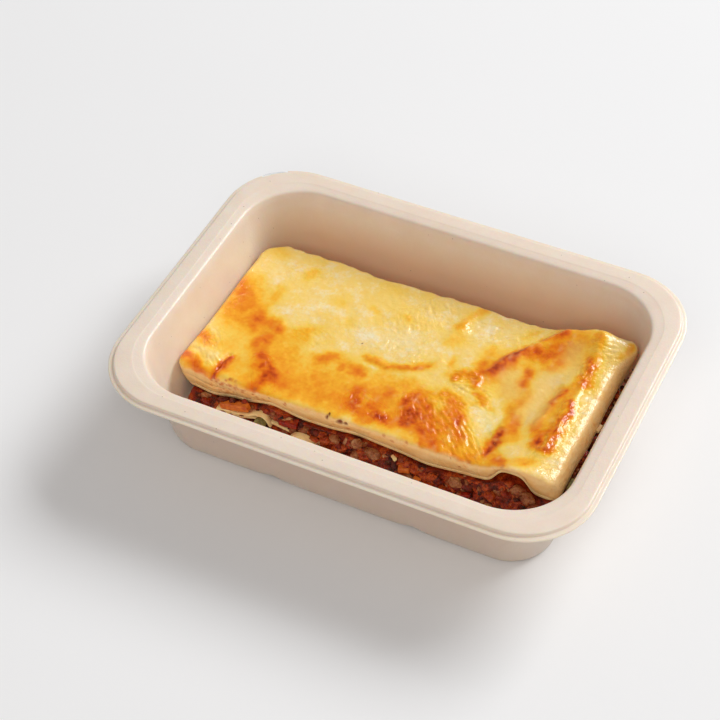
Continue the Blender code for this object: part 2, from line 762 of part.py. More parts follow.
def make_bits(layers):
    """Makes each bit, with a pocket cut for it in the sauce."""
    finishes = {
        "carrot_piece": CARROT,
        "carrot_dice": CARROT,
        "tomato_piece": TOMATO,
        "olive_piece": GREEN_OLIVE,
    }
    for layer in layers:
        pockets = [make_bit(name, finish, TOUCHING_GAP) for name, finish in finishes.items()]
        pockets.append(make_olive_slice("olive_slice", TOUCHING_GAP))
        pockets.append(make_fold("pasta_fold", TOUCHING_GAP))
        combine(layer, pockets, "DIFFERENCE")
    for name, finish in finishes.items():
        make_bit(name, finish)
    make_olive_slice("olive_slice")
    make_fold("pasta_fold")


def main():
    clear_scene()
    make_tray()
    make_white_sauce()
    make_top_sheet()
    make_mid_sheet()
    make_bits(make_sauce_layers(random.Random(CRUMB_SEED)))


main()
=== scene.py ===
"""Looks of a lasagne portion in its moulded fibre ready meal tray.

Sizes and places are in millimetres in the model's own frame, and become metres when a mesh is made. +X runs
along the tray's long side, +Y away from the cut front of the food, +Z up.
"""

import math
import random

import bmesh
import bpy
import numpy as np
from mathutils import Euler, Matrix, Vector, noise


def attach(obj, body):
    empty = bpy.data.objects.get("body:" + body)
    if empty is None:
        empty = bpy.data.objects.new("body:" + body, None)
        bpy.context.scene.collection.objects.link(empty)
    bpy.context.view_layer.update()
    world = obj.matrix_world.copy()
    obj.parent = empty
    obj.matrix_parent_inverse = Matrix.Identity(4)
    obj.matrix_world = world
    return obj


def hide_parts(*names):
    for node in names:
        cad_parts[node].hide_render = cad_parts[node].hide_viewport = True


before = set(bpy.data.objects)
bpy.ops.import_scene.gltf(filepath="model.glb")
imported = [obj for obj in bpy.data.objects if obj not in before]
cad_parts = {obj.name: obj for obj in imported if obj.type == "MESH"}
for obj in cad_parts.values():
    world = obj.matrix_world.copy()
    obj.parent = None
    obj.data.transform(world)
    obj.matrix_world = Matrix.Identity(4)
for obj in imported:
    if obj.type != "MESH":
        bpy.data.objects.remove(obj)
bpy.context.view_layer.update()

MM = 0.001

# Camera, in metres and radians: a long lens that looks down on the tray's front right
CAMERA_PLACE = (0.21937, -0.44395, 0.55442)
CAMERA_TURN = (0.75365, 0.02941, 0.45669)
CAMERA_LENS = 98.8
CAMERA_SENSOR = 36.0

# Light: a wide soft source behind the tray to the right, a weak one on the camera's side, and an even fill
KEY_BEARING = 27.5  # degrees from +Y towards +X
KEY_ELEVATION = 38.5
KEY_DISTANCE = 3.0
KEY_SIZE = (1.9, 1.2)
KEY_POWER = 74.0
KEY_COLOUR = (0.97, 0.99, 1.0)
FRONT_BEARING = 162.0
FRONT_ELEVATION = 46.0
FRONT_DISTANCE = 3.0
FRONT_SIZE = (2.0, 2.0)
FRONT_POWER = 24.5
FRONT_COLOUR = (1.0, 0.965, 0.93)
FILL_STRENGTH = 0.335
FILL_SHINE = 0.3  # share of the fill that shows in glossy reflections
FILL_COLOUR = (1.0, 0.97, 0.95)
FLOOR_WIDTH = 6.0

# Tray: outline at the thin outer lip, and its section as in the solid model:
# inset from the lip outline, height, corner radius, share of the rib height taken there
LIP_LENGTH = 187.0
LIP_WIDTH = 137.0
LIP_HEIGHT = 37.5
TRAY_CORNER_STEPS = 12
LONG_SIDE_PLACES = (-60.0, -48.0, -9.0, 0.0, 9.0, 48.0, 60.0)  # where its points lie, besides the ribs'
SHORT_SIDE_SHARES = (-0.6, -0.2, 0.2, 0.6)
INNER_WALL_TOP = (11.95, 34.9, 22.4)
INNER_WALL_FOOT = (17.4, 5.2, 16.9)
TRAY_SECTION = (
    (19.6, 0.0, 14.4, 1.0),
    (18.0, 0.3, 15.9, 1.0),
    (17.2, 1.5, 16.6, 0.75),
    (16.4, 5.5, 17.3, 0.0),
    (13.7, 20.4, 20.0, 0.0),
    (11.0, 35.2, 22.6, 0.0),
    (9.6, 36.9, 24.0, 0.0),
    (6.3, 37.3, 24.1, 0.0),
    (3.0, 37.5, 24.2, 0.0),
    (2.3, 36.8, 24.7, 0.0),
    (0.6, 36.75, 26.3, 0.0),
    (0.05, 36.95, 26.85, 0.0),
    (0.0, 37.3, 26.9, 0.0),
    (0.4, 37.55, 26.5, 0.0),
    (1.3, 37.6, 25.6, 0.0),
    (1.72, 37.66, 25.2, 0.0),
    (1.85, 37.85, 25.1, 0.0),
    (2.1, 38.5, 24.9, 0.0),
    (2.35, 38.72, 24.6, 0.0),
    (2.9, 38.78, 24.3, 0.0),
    (4.6, 38.8, 23.8, 0.0),
    (7.0, 38.82, 23.6, 0.0),
    (7.3, 38.8, 23.6, 0.0),
    (7.55, 38.68, 23.6, 0.0),
    (9.7, 38.4, 23.5, 0.0),
    (10.45, 38.17, 23.35, 0.0),
    (10.9, 37.78, 23.15, 0.0),
    (11.2, 37.15, 22.9, 0.0),
    (11.55, 36.2, 22.65, 0.0),
    (*INNER_WALL_TOP, 0.0),
    (14.7, 20.0, 19.6, 0.0),
    (*INNER_WALL_FOOT, 0.0),
    (18.4, 2.6, 16.0, 0.5),
    (20.8, 1.4, 13.6, 1.0),
    (24.0, 1.4, 11.0, 1.0),
)
RIB_PLACES = (-27.5, 29.0)
RIB_HALF_WIDTH = 6.2
RIB_HEIGHT = 1.6
RIB_STEPS = 6
RIB_SHOULDER = 7.0  # how far beyond a rib the sauce's rise over it ends
FLOOR_RINGS = (0.8, 0.6, 0.4, 0.2)  # shares of the width at which rings close the floor
OUTSIDE_ROWS = 6  # lines of the section that lie on the outer wall
INSIDE_ROW = 20  # line from which the section goes down inside
PAINTED_BOUNCE_FROM = 36.0  # from this y the inner wall takes a warmer tone: painted bounce light, standing in for light thrown onto it from the food
PAINTED_BOUNCE_RISE = 12.0
TRAY_UNEVEN = 0.06  # how far the pressed fibre wavers
TRAY_UNEVEN_LENGTH = 14.0

# Torn place in the outer lip, at the corner behind the left end
TEAR_FROM = (-87.6, 58.6)
TEAR_TO = (-79.2, 64.8)
TEAR_DEPTH = 2.1
TEAR_TEETH = 17
TEAR_REACH = 6.0
TEAR_SEED = 4

# Lasagne portion: the slab's outline in plan, with its corner radii
SLAB_LEFT = -77.0
SLAB_RIGHT = 75.3
SLAB_FRONT = -30.9
SLAB_BACK = 42.4
SLAB_RADII = {"front_left": 4.0, "front_right": 3.5, "back_right": 3.0, "back_left": 9.0}
SLAB_WAVE = (0.6, 13.0, 1.0)  # how far the edge wavers, over what length, and the layer of noise
SLAB_EDGE_ROUND = 2.6
FINE_CELL = 0.4
FACE_INSET = 1.25  # how far the foot of its side lies in
FACE_RINGS = 15
SIDE_STRAIGHT = 0.74  # share of the height at which the rounded top edge meets the side

# That rounded edge: how far it lies in as a share of its radius, and the share of the height
EDGE_PROFILE = (
    (-1.0, 1.0),
    (-0.72, 0.994),
    (-0.48, 0.972),
    (-0.28, 0.94),
    (-0.12, 0.89),
    (-0.03, 0.82),
    (0.0, SIDE_STRAIGHT),
)

# Stretches of the slab's back edge that stand out or lie back: middle, half width, reach
BACK_BULGES = (
    (73.5, 4.5, 2.0),
    (62.0, 9.0, 1.9),
    (18.0, 7.0, 0.6),
    (-58.0, 9.0, 0.7),
    (-28.0, 9.0, -0.8),
)
BACK_SCALLOP = 0.75
BACK_SCALLOP_LENGTH = 4.4

# The top of the slab's left end leans out to the tray's wall near the front
LEFT_LEAN = 1.2
LEFT_LEAN_MIDDLE = -24.0
LEFT_LEAN_HALF_WIDTH = 12.0

# Its right end slants out towards its foot, but for the back corner, which stands out at the top
FOOT_OUT = 1.6
RIGHT_TOP_IN = 2.2
BACK_CORNER_OUT = 1.7
BACK_CORNER_MIDDLE = 41.0
BACK_CORNER_HALF_WIDTH = 7.0
FRONT_FOOT_FROM = 62.0  # right of here the front's foot lies further out too
FRONT_FOOT_TO = 71.0

# Heights in the slab: its top, low on the left and raised on the right, and its sloping underside
TOP_LEFT = 20.9
TOP_SLOPE = 0.5
RAISE_FROM = 36.0
RAISE_TO = 68.0
RAISE_HEIGHT = 4.2
UNDERSIDE_LEFT = 9.0
UNDERSIDE_RIGHT = 15.5
TOP_SHEET_THICKNESS = 2.0
TOUCHING_GAP = 0.35
TOUCHING_SHOWN = 0.08  # what the slab and the sheet under it keep where their edges show

# Swells of the baked top: middle, half length, half width, heading in degrees, height
TOP_SWELLS = (
    ((62.0, 41.0), 14.0, 9.0, 0.0, 3.2),
    ((40.0, 26.0), 19.0, 4.5, 52.0, 1.6),
    ((65.0, -6.0), 16.0, 3.5, 90.0, 1.4),
    ((46.0, -14.0), 12.0, 2.6, 84.0, 0.2),
    ((24.0, -16.0), 13.0, 9.0, 20.0, 1.0),
    ((12.0, 31.0), 11.0, 2.8, 80.0, 0.7),
    ((-46.0, -18.0), 12.0, 6.0, 10.0, 0.6),
    ((-70.0, -24.0), 8.0, 5.0, 30.0, 0.9),
    ((55.0, 10.0), 15.0, 4.0, 80.0, -1.3),
    ((37.0, -12.0), 9.0, 4.0, 75.0, 0.3),
    ((-61.0, -26.0), 7.0, 1.8, 70.0, -0.9),
    ((57.5, -31.0), 9.0, 7.0, 0.0, 2.2),
)
TOP_RIPPLE = 0.35
TOP_RIPPLE_LENGTH = 9.0

# Narrow ridges and creases of the top: points, half width, height
TOP_CREASES = (
    (((-13, 0.5), (-4, -0.5), (3, 2), (9, 6), (12, 10)), 1.2, 0.45),
    (((31, 12), (35, 21), (39, 27), (44, 33), (50, 40)), 1.7, 0.9),
    (((65, 20), (65.5, 6), (65, -6), (64.5, -17)), 1.1, 0.4),
    (((60, 12), (58, 4), (57, -5)), 1.3, 0.45),
    (((45.5, -12), (46.3, -18), (45.0, -25)), 1.3, -0.35),
    (((64, 42), (65, 34), (64.5, 24)), 2.2, 0.7),
    (((-63.8, -31), (-62, -25), (-60.6, -19)), 0.8, -0.8),
    (((-59.5, -20), (-61, -26), (-62, -31)), 1.1, 0.5),
    (((-77, -21.5), (-73, -22), (-68, -25)), 1.0, -0.5),
    (((20, 3), (21, 8), (25, 10), (29, 8), (29, 4), (25, 2), (20, 3)), 1.0, 0.4),
    (((44, -2), (43.5, -9), (43.5, -15)), 1.2, -0.25),
    (((-50, 3), (-53, -3), (-55, -9)), 1.3, 0.3),
)

# Finely wrinkled, wet places: points, half width, strength, heading in degrees, wrinkle width and length
TOP_WRINKLES = (
    (((18, -14), (28, -17), (38, -27)), 7.5, 0.3, -48.0, 1.15, 4.4),
    (((24, 6), (25, 4)), 5.5, 0.28, 20.0, 1.1, 2.0),
    (((21, -5), (27, -7)), 4.5, 0.26, -30.0, 1.1, 2.4),
    (((33, 2), (34, -3)), 3.0, 0.22, -20.0, 1.1, 2.0),
    (((-73, -13), (-68, -22), (-65, -29)), 4.6, 0.36, -55.0, 1.15, 3.6),
    (((-10, 22), (-3, 26), (1, 34)), 7.0, 0.15, -60.0, 1.3, 2.8),
    (((-8, 12), (1, 8), (1, 15)), 5.0, 0.14, 80.0, 1.3, 2.6),
    (((-26, 12), (-14, 6)), 4.0, 0.08, 20.0, 1.4, 2.6),
    (((18, 30), (28, 33), (36, 39)), 6.5, 0.17, 30.0, 1.4, 2.8),
    (((64, 27), (65, 18)), 3.6, 0.3, 75.0, 1.1, 2.4),
    (((65.5, 5), (66, -8), (65, -17)), 3.2, 0.3, 85.0, 1.1, 2.2),
    (((61, -12), (62, -18)), 4.0, 0.26, 60.0, 1.1, 2.2),
    (((64, 38), (69, 34)), 3.8, 0.26, 20.0, 1.2, 2.4),
    (((70, 30), (71, 10), (70, -26)), 4.6, 0.12, 60.0, 1.4, 3.0),
    (((10, -12), (13, -18)), 4.0, 0.24, -60.0, 1.2, 2.8),
    (((3, -24), (-8, -20)), 4.6, 0.18, -60.0, 1.3, 2.8),
    (((-42, 4), (-34, 2)), 4.0, 0.14, -40.0, 1.4, 2.4),
    (((-48, -18), (-42, -28)), 4.0, 0.12, -40.0, 1.4, 2.6),
    (((-58, 30), (-50, 34)), 4.0, 0.1, 20.0, 1.5, 2.6),
    (((44, 26), (50, 36)), 3.0, 0.14, 50.0, 1.2, 2.6),
)
TOP_GRAIN = ((2.3, 0.1), (1.1, 0.05))  # small bumps all over: length and height

# Browning of the top. Each stroke has points, half width and strength; golden strokes are broad and light
GOLDEN_STROKES = (
    (((-73, 16), (-70, 9), (-70, 3)), 7.5, 0.95),
    (((-66, 5), (-64, 0)), 6.0, 0.7),
    (((-60, 19), (-59, 12)), 2.6, 0.55),
    (((-61, 5), (-60, -2)), 4.6, 0.9),
    (((-54, 1), (-50, -1)), 4.6, 0.9),
    (((-52, -5), (-54, -10)), 4.6, 0.9),
    (((-50, -14), (-45, -21), (-45, -30)), 6.5, 0.9),
    (((-42, -2), (-42, -9)), 5.5, 0.55),
    (((-70, -7), (-62, -10)), 3.0, 0.35),
    (((-68, -16), (-62, -16)), 4.0, 0.5),
    (((-76, -14), (-72, -17)), 3.4, 0.8),
    (((-77, -25), (-72, -28), (-64, -31)), 3.6, 0.95),
    (((-59, -21), (-61, -27), (-62, -31)), 3.0, 0.9),
    (((-55, -24), (-53, -27)), 5.0, 0.55),
    (((-40, -14), (-26, -15), (-12, -13), (2, -12), (10, -10)), 6.5, 0.75),
    (((-40, -24), (-26, -23), (-12, -23), (0, -21), (16, -20)), 7.5, 0.92),
    (((-30, -8), (-24, -4), (-14, -6)), 3.6, 0.8),
    (((-14, 1), (-5, -0.5), (3, 2), (10, 7)), 1.9, 0.8),
    (((-4, -5), (6, -5)), 3.6, 0.5),
    (((18, -22), (30, -25), (39, -29)), 7.0, 0.9),
    (((28, -12), (33, -17), (39, -25)), 4.0, 0.8),
    (((40, -28), (48, -29)), 5.0, 0.6),
    (((45, -22), (48, -26)), 4.0, 0.6),
    (((27, 23), (26, 15), (29, 10)), 3.2, 0.75),
    (((20, 6), (28, 7)), 5.0, 0.6),
    (((20, -5), (28, -8)), 5.0, 0.7),
    (((31, 13), (36, 22), (42, 28), (51, 31), (50, 38)), 4.8, 0.98),
    (((50, 23), (55, 27), (57, 35)), 4.6, 0.7),
    (((44, 18), (45, 11)), 3.8, 0.85),
    (((34, 11), (39, 6)), 5.0, 0.4),
    (((31, 1), (38, -4)), 2.4, 0.75),
    (((48, 5), (46, 0), (48, -8), (51, -14)), 3.8, 0.85),
    (((59, 13), (58, 3), (57, -6), (60, -14)), 3.0, 0.9),
    (((52, 38), (58, 38), (63, 38)), 4.0, 0.45),
    (((73, 34), (75, 41)), 1.6, 0.55),
    (((64, 29), (66, 18)), 4.2, 0.8),
    (((63, 16), (62.5, 5), (63, -8)), 2.2, 0.75),
    (((66, 6), (67, -16)), 2.6, 0.7),
    (((58, -26), (62, -25)), 3.0, 0.6),
    (((50, -27), (54, -30)), 2.8, 0.75),
    (((46, -13), (46, -24)), 3.4, 0.9),
    (((53, 42), (60, 40)), 3.0, 0.5),
    (((16, 41), (13, 34), (11, 28)), 2.2, 0.75),
    (((14, 24), (11, 20)), 3.2, 0.45),
    (((16, 14), (16, 10)), 1.5, 0.6),
    (((-9, 26), (-8, 24)), 1.8, 0.45),
    (((-23, 24), (-21, 24)), 1.8, 0.4),
    (((-37, 23), (-35, 22)), 2.4, 0.32),
    (((-28, 15), (-27, 14)), 2.2, 0.22),
    (((-52, 33), (-53, 29)), 2.0, 0.45),
    (((-70, 38), (-68, 37)), 2.8, 0.4),
    (((-24, 38), (-17, 37)), 2.4, 0.25),
    (((-39, 5), (-41, 2)), 3.6, 0.5),
    (((36, 34), (39, 38)), 2.0, 0.5),
    (((23, 38), (21, 39)), 1.8, 0.3),
)

# Brown strokes are the small, dark ones on top of them
BROWN_STROKES = (
    (((-74, 16), (-72, 12)), 2.6, 0.3),
    (((-70, 9), (-68, 6)), 4.0, 0.2),
    (((-60, 4), (-60, -1)), 2.8, 0.46),
    (((-54, 2), (-51, 0)), 2.6, 0.48),
    (((-52, -6), (-54, -9)), 2.8, 0.42),
    (((-50, -15), (-46, -20), (-42, -22)), 3.0, 0.72),
    (((-42, -22), (-36, -24)), 3.0, 0.4),
    (((-44, -24), (-45, -31)), 2.4, 0.6),
    (((-59.4, -20), (-60.6, -25), (-62.6, -31)), 1.5, 0.9),
    (((-77, -14), (-74, -14)), 2.2, 0.5),
    (((-77, -25), (-73, -27), (-67, -31)), 2.3, 0.6),
    (((-29, -7), (-26, -4)), 2.2, 0.5),
    (((-20, -7), (-20, -8)), 1.5, 0.55),
    (((-16, -8), (-12, -7)), 2.4, 0.46),
    (((-14, 1), (-10, 0)), 1.6, 0.25),
    (((-4, -0.5), (3, 2), (9, 6)), 0.9, 0.4),
    (((-9, -16), (-8, -23), (-4, -25), (-2, -28)), 2.8, 0.66),
    (((2, -24), (6, -25)), 3.2, 0.85),
    (((10, -12), (12, -18), (13, -22)), 3.2, 0.85),
    (((13, -9), (17, -14)), 3.8, 0.55),
    (((1, -12), (-1, -20)), 3.2, 0.35),
    (((18, -15), (26, -13), (28, -17)), 4.0, 0.5),
    (((20, -21), (25, -26)), 4.2, 0.62),
    (((29, -14), (33, -21)), 2.6, 0.5),
    (((20, 4), (22, 8), (27, 8), (28, 5)), 1.8, 0.55),
    (((21, -4), (27, -7)), 2.6, 0.55),
    (((28, 12), (27, 15)), 2.0, 0.4),
    (((32, 13), (34, 19), (38, 26.5)), 1.9, 0.9),
    (((39, 27), (46, 27), (49, 30)), 3.0, 0.55),
    (((43, 34.5), (46, 35.5), (50, 39)), 1.6, 0.8),
    (((51, 23), (53, 25)), 2.6, 0.45),
    (((44, 17), (45, 12)), 2.0, 0.62),
    (((31, 0), (35, -2), (32, -4)), 1.5, 0.5),
    (((46, -12.5), (46.5, -18), (45.5, -24)), 1.8, 1.0),
    (((49, -5), (50, -11)), 2.4, 0.42),
    (((51, -27), (53, -29)), 1.8, 0.5),
    (((60, 12), (58, 5)), 1.4, 0.72),
    (((65, 8), (66, 3), (66, -3)), 1.4, 0.85),
    (((58, -9), (62, -9)), 2.4, 0.52),
    (((61, -13), (61, -17), (65, -18)), 2.4, 0.88),
    (((66, -9), (66, -16)), 1.7, 0.62),
    (((64.4, -3), (64.4, -16)), 0.6, 0.6),
    (((64, 39), (65, 36)), 1.5, 0.4),
    (((61.5, 41), (63, 40)), 1.2, 0.25),
    (((64, 28), (66, 24)), 1.9, 0.62),
    (((64, 20), (66, 17)), 2.2, 0.5),
    (((74.5, 42), (75, 38)), 1.2, 0.4),
    (((60, -25), (61, -26)), 2.0, 0.3),
    (((22, -29), (32, -30.5), (40, -31)), 1.6, 0.5),
    (((-30, -28), (-20, -29)), 1.6, 0.12),
)

# Places left pale, and places where the sauce is thin and lets the dull sheet show through
PALE_STROKES = (
    (((33, -5), (38, -8), (41, -20)), 4.8, 0.85),
    (((71, 28), (72, 4), (71, -26)), 3.6, 0.35),
    (((-68, 26), (-66, 30)), 9.0, 0.6),
    (((-20, 10), (-6, 13.5), (4, 14)), 7.0, 0.9),
    (((-44, 12), (-40, 34)), 8.0, 0.4),
    (((20, 32), (30, 36)), 8.0, 0.5),
    (((37, -26), (39, -29)), 1.8, 0.7),
    (((14, 2), (24, 0)), 2.4, 0.6),
    (((-35, -10), (-31, -13)), 2.6, 0.5),
    (((-27, -29), (-24, -29)), 2.2, 0.7),
    (((-39, -28), (-37, -27)), 2.0, 0.5),
    (((-66, -22), (-64, -28)), 2.6, 0.8),
    (((-76, -20), (-71, -21)), 1.2, 0.9),
    (((-7, -30), (-4, -29.5)), 1.4, 0.9),
    (((66, 31), (69, 37)), 1.2, 0.3),
)
DULL_STROKES = (
    (((53, 18), (53, 6), (53, -4)), 4.4, 0.9),
    (((56, 32), (58, 24)), 4.0, 0.6),
    (((38, 14), (42, 6)), 4.0, 0.7),
    (((55, -22), (58, -20)), 4.0, 0.3),
)

# Share of the height at which the side turns from golden to cream, at places along the slab
FACE_EDGE = ((-77.0, 0.9), (-52.0, 0.84), (-40.0, 0.88), (-25.0, 0.97), (0.0, 1.0), (75.0, 1.0))

# Small dented holes and specks in the cut front face, with painted shade in them: place along it, height
# above its lower edge, half width
FACE_HOLES = (
    ((-14.6, 5.6), (0.6, 1.1)),
    ((-14.0, 6.6), (0.5, 0.5)),
    ((-9.4, 4.6), (1.5, 1.2)),
    ((-7.0, 4.5), (1.0, 0.7)),
    ((-38.2, 3.6), (0.4, 0.4)),
)
FOLD_LINE_HEIGHT = 5.2  # a fold in the face at its left end, and how it falls to the right
FOLD_LINE_FALL = 0.09
FOLD_LINE_TO = -62.0
FOLD_LINE_FADE = 12.0
FOLD_LINE_WIDTH = 0.6
FOLD_LINE_DEPTH = 0.35
FACE_REACH = 3.0  # how far behind the slab's front edge the face's points lie at most
FACE_WAVE = 0.18
FACE_WAVE_LENGTH = 5.0
HOLE_DEPTH = 0.7
FACE_SPECKS = 90
FACE_SPECK_SEED = 23
FACE_SPECK_LOOSE = 0.4  # share of them that lie anywhere along the face
FACE_SPECK_SPREAD = (-76.0, 74.0)
FACE_SPECK_CLUSTER = (-54.0, 5.5)  # where the others gather, and how widely
FACE_SPECK_HEIGHTS = (0.6, 9.0)
FACE_SPECK_RADII = (0.25, 0.9)
# a small dark spot on the top, in the same colour as the painted shade of the face's holes
TOP_SPECK = ((-18.5, 6.5), 0.35)

# Rises and dips of the bed that the slab lies on: middle, half width, height
BED_SWELLS = (
    (-64.0, 7.0, -1.7),
    (-38.0, 9.0, 3.0),
    (-5.0, 7.0, 1.2),
    (28.0, 14.0, -2.7),
    (73.0, 7.0, 1.3),
)

# Arched hollow under the slab's front edge, partly filled with mince
ARCH_MIDDLE = 57.3
ARCH_HALF_WIDTH = 6.7
ARCH_HEIGHT = 7.0
ARCH_DEPTH_FROM = -6.0
ARCH_DEPTH_TO = -27.0
ARCH_FILL = 0.5

# Meat sauce and the pasta sheet in it
FLOOR_TOP = 1.4
SAUCE_LEFT = -71.5
SAUCE_RIGHT = 75.4
SAUCE_FRONT = -32.2
SAUCE_BACK = 41.0
SAUCE_RADII = {"front_left": 7.0, "front_right": 12.0, "back_right": 15.0, "back_left": 9.0}
SAUCE_WAVE = (0.7, 11.0, 5.0)
SAUCE_CELL = 0.9
SAUCE_RINGS = 16
UPPER_SAUCE_SIDE = ((-0.6, 1.0), (-0.1, 0.85), (0.0, 0.7), (0.2, 0.5), (0.2, 0.3), (-0.1, 0.12), (-0.4, 0.0))
LOWER_SAUCE_SIDE = ((-0.6, 1.0), (-0.2, 0.85), (-0.4, 0.65), (-1.1, 0.35), (-2.2, 0.15), (-3.6, 0.0))
UPPER_SPREAD = -0.6  # how far each layer of sauce lies out of the plan
LOWER_SPREAD = 1.2
LOWER_TOE = 2.6
MID_SHEET_HEIGHT = 6.2
MID_SHEET_WAVE = 1.5
MID_SHEET_WAVE_LENGTH = 34.0
MID_SHEET_WAVE_START = -47.0
MID_SHEET_DROP = 2.6  # how far its left end comes down
MID_SHEET_DROP_FROM = -54.0
MID_SHEET_DROP_TO = -66.0
MID_SHEET_THICKNESS = 1.2
SHEET_CELL = 1.2
UPPER_SHEET_SIDE = ((-0.02, 1.0), (0.0, 0.8), (-0.05, 0.5), (-0.2, 0.2), (-0.7, 0.0))
MIDDLE_SHEET_SIDE = ((-0.1, 1.0), (0.25, 0.85), (0.35, 0.5), (0.25, 0.15), (-0.1, 0.0))
MIDDLE_SHEET_SPREAD = 0.6  # how far it sticks out of the sauce
SHEET_DRAWN_IN = 5.0  # how far the middle sheet's front edge lies in but for its left stretch
SHEET_FRONT = (-20.0, -30.0)  # where the drawing in starts and is complete, from back to front
SHEET_RIGHT = (-16.0, -11.0)  # the same at that stretch's right end and at its left end
SHEET_LEFT = (-58.0, -61.0)

# Minced meat on the sauce's sides: radii, spacing along the edge in each pass, passes, seed
MINCE_SMALL = 0.5
MINCE_LARGE = 2.3
MINCE_SPACING = 1.7
MINCE_PASSES = 4
MINCE_HIDDEN = 0.45  # share of it that is left out where it hardly shows
MINCE_TONES = ((0.16, 20), (0.32, 20), (0.5, 16), (0.62, 14), (0.78, 18), (0.95, 12))
MINCE_RELIEF = ((3.4, 1.1), (1.7, 0.8), (0.9, 0.45))
MINCE_SEED = 31

# Bank of mince at the cut front; its profile gives y and the share of the height, from the slab's edge down
BANK_LEFT = -72.0
BANK_RIGHT = 75.0
BANK_CELL = 0.42
BANK_ROWS = 34
BANK_BACK = -28.5
BANK_PROFILE = (
    (-29.4, 1.0),
    (-31.2, 0.97),
    (-32.4, 0.85),
    (-33.0, 0.65),
    (-34.2, 0.4),
    (-36.2, 0.15),
    (-37.4, 0.0),
)
BANK_FOOT = 2.6
BANK_LIMIT = -38.4  # no further forward than this
BANK_OPEN = (-58.0, -14.0)  # stretch where it lies back, so that the sheet in the sauce shows
BANK_SET_BACK = 1.9
BANK_LUMPS = 320
# Larger lumps that stand out in it: middle, radius, tone
BANK_HEAPS = (
    ((-1.8, -32.6, 13.0), 2.2, 0.88),
    ((4.4, -32.8, 11.0), 2.4, 0.84),
    ((-10.6, -32.8, 11.4), 1.9, 0.82),
    ((37.4, -33.0, 11.4), 2.2, 0.88),
    ((61.0, -31.8, 17.6), 2.2, 0.78),
    ((64.6, -32.4, 15.6), 2.4, 0.8),
    ((68.0, -33.0, 12.8), 2.0, 0.74),
    ((57.0, -32.8, 14.6), 2.0, 0.34),
    ((51.0, -33.6, 11.6), 2.1, 0.44),
    ((-14.4, -33.4, 9.6), 1.8, 0.5),
    ((-18.6, -33.6, 8.6), 1.5, 0.52),
    ((18.6, -33.4, 12.4), 1.6, 0.5),
    ((28.4, -33.6, 10.6), 1.5, 0.54),
    ((-58.0, -31.8, 10.2), 1.5, 0.2),
    ((-53.4, -31.6, 11.6), 1.3, 0.12),
    ((-48.4, -31.6, 12.8), 1.3, 0.36),
    ((-65.0, -32.4, 6.6), 1.8, 0.4),
    ((-61.4, -32.6, 6.4), 1.6, 0.22),
)
GAP_LUMPS = 110
GAP_HEAPS = (-29.0, -14.0, -9.0, 3.0, 14.0, 22.0, 33.0, 38.0)
GAP_SPREAD = 3.4
GAP_HEIGHTS = (11.0, 17.6)
GAP_REACH = (75.6, 77.8)
GAP_SIZE = 0.62  # their size beside that of the others

# Bits in the sauce: middle, size, turns in degrees about x, y, z
CUT_BITS = {
    "carrot_piece": ((-52.0, -32.9, 10.4), (12.6, 3.0, 2.8), (-4.0, -18.0, -2.0)),
    "carrot_dice": ((17.0, -32.4, 8.9), (4.4, 3.6, 2.8), (6.0, 0.0, 18.0)),
    "tomato_piece": ((-30.0, -31.8, 10.6), (7.2, 3.8, 2.2), (-5.0, 0.0, 6.0)),
    "olive_piece": ((77.0, -22.5, 17.2), (1.7, 5.4, 4.2), (0.0, 0.0, 0.0)),
}
OLIVE_SLICE_PLACE = (-40.4, -35.2, 8.8)
OLIVE_SLICE_RADIUS = 2.3
OLIVE_SLICE_THICKNESS = 2.2
OLIVE_SLICE_TILT = 78.0
OLIVE_SLICE_STEPS = 28
OLIVE_SLICE_PROFILE = ((0.0, 0.34), (0.28, 0.32), (0.42, 0.44), (0.78, 0.5), (0.94, 0.42), (1.0, 0.2))
FOLD_PLACE = (-23.4, -34.8, 5.0)
FOLD_RADIUS = 4.6
FOLD_STRETCH = 1.2
FOLD_THICKNESS = 1.1
FOLD_WIDTH = 2.6
FOLD_FROM = -6.0
FOLD_TO = 186.0
FOLD_STEPS = 30
FOLD_SECTION = (
    (0.5, -0.42),
    (0.42, -0.5),
    (-0.42, -0.5),
    (-0.5, -0.42),
    (-0.5, 0.42),
    (-0.42, 0.5),
    (0.42, 0.5),
    (0.5, 0.42),
)

# Flap of the torn sheet: points in x and z from its left end along its curled edge, front edge and depth
FLAP_PATH = (
    (-59.4, 7.0),
    (-57.6, 7.5),
    (-54.4, 8.1),
    (-51.0, 8.3),
    (-47.6, 9.0),
    (-44.6, 10.2),
    (-42.6, 11.3),
    (-40.8, 11.7),
    (-39.2, 11.4),
    (-38.0, 10.2),
    (-37.3, 8.4),
    (-36.7, 6.4),
    (-35.6, 4.9),
    (-34.2, 4.3),
)
FLAP_FRONT = -34.6
FLAP_DEPTH = 3.6
FLAP_THICKNESS = 0.9
FLAP_STEPS = 4  # from each point of its path to the next
FLAP_SECTION = (
    (1.0, 0.3),
    (0.5, 0.0),
    (-0.5, 0.0),
    (-1.0, 0.3),
    (-1.0, FLAP_DEPTH),
    (1.0, FLAP_DEPTH),
)

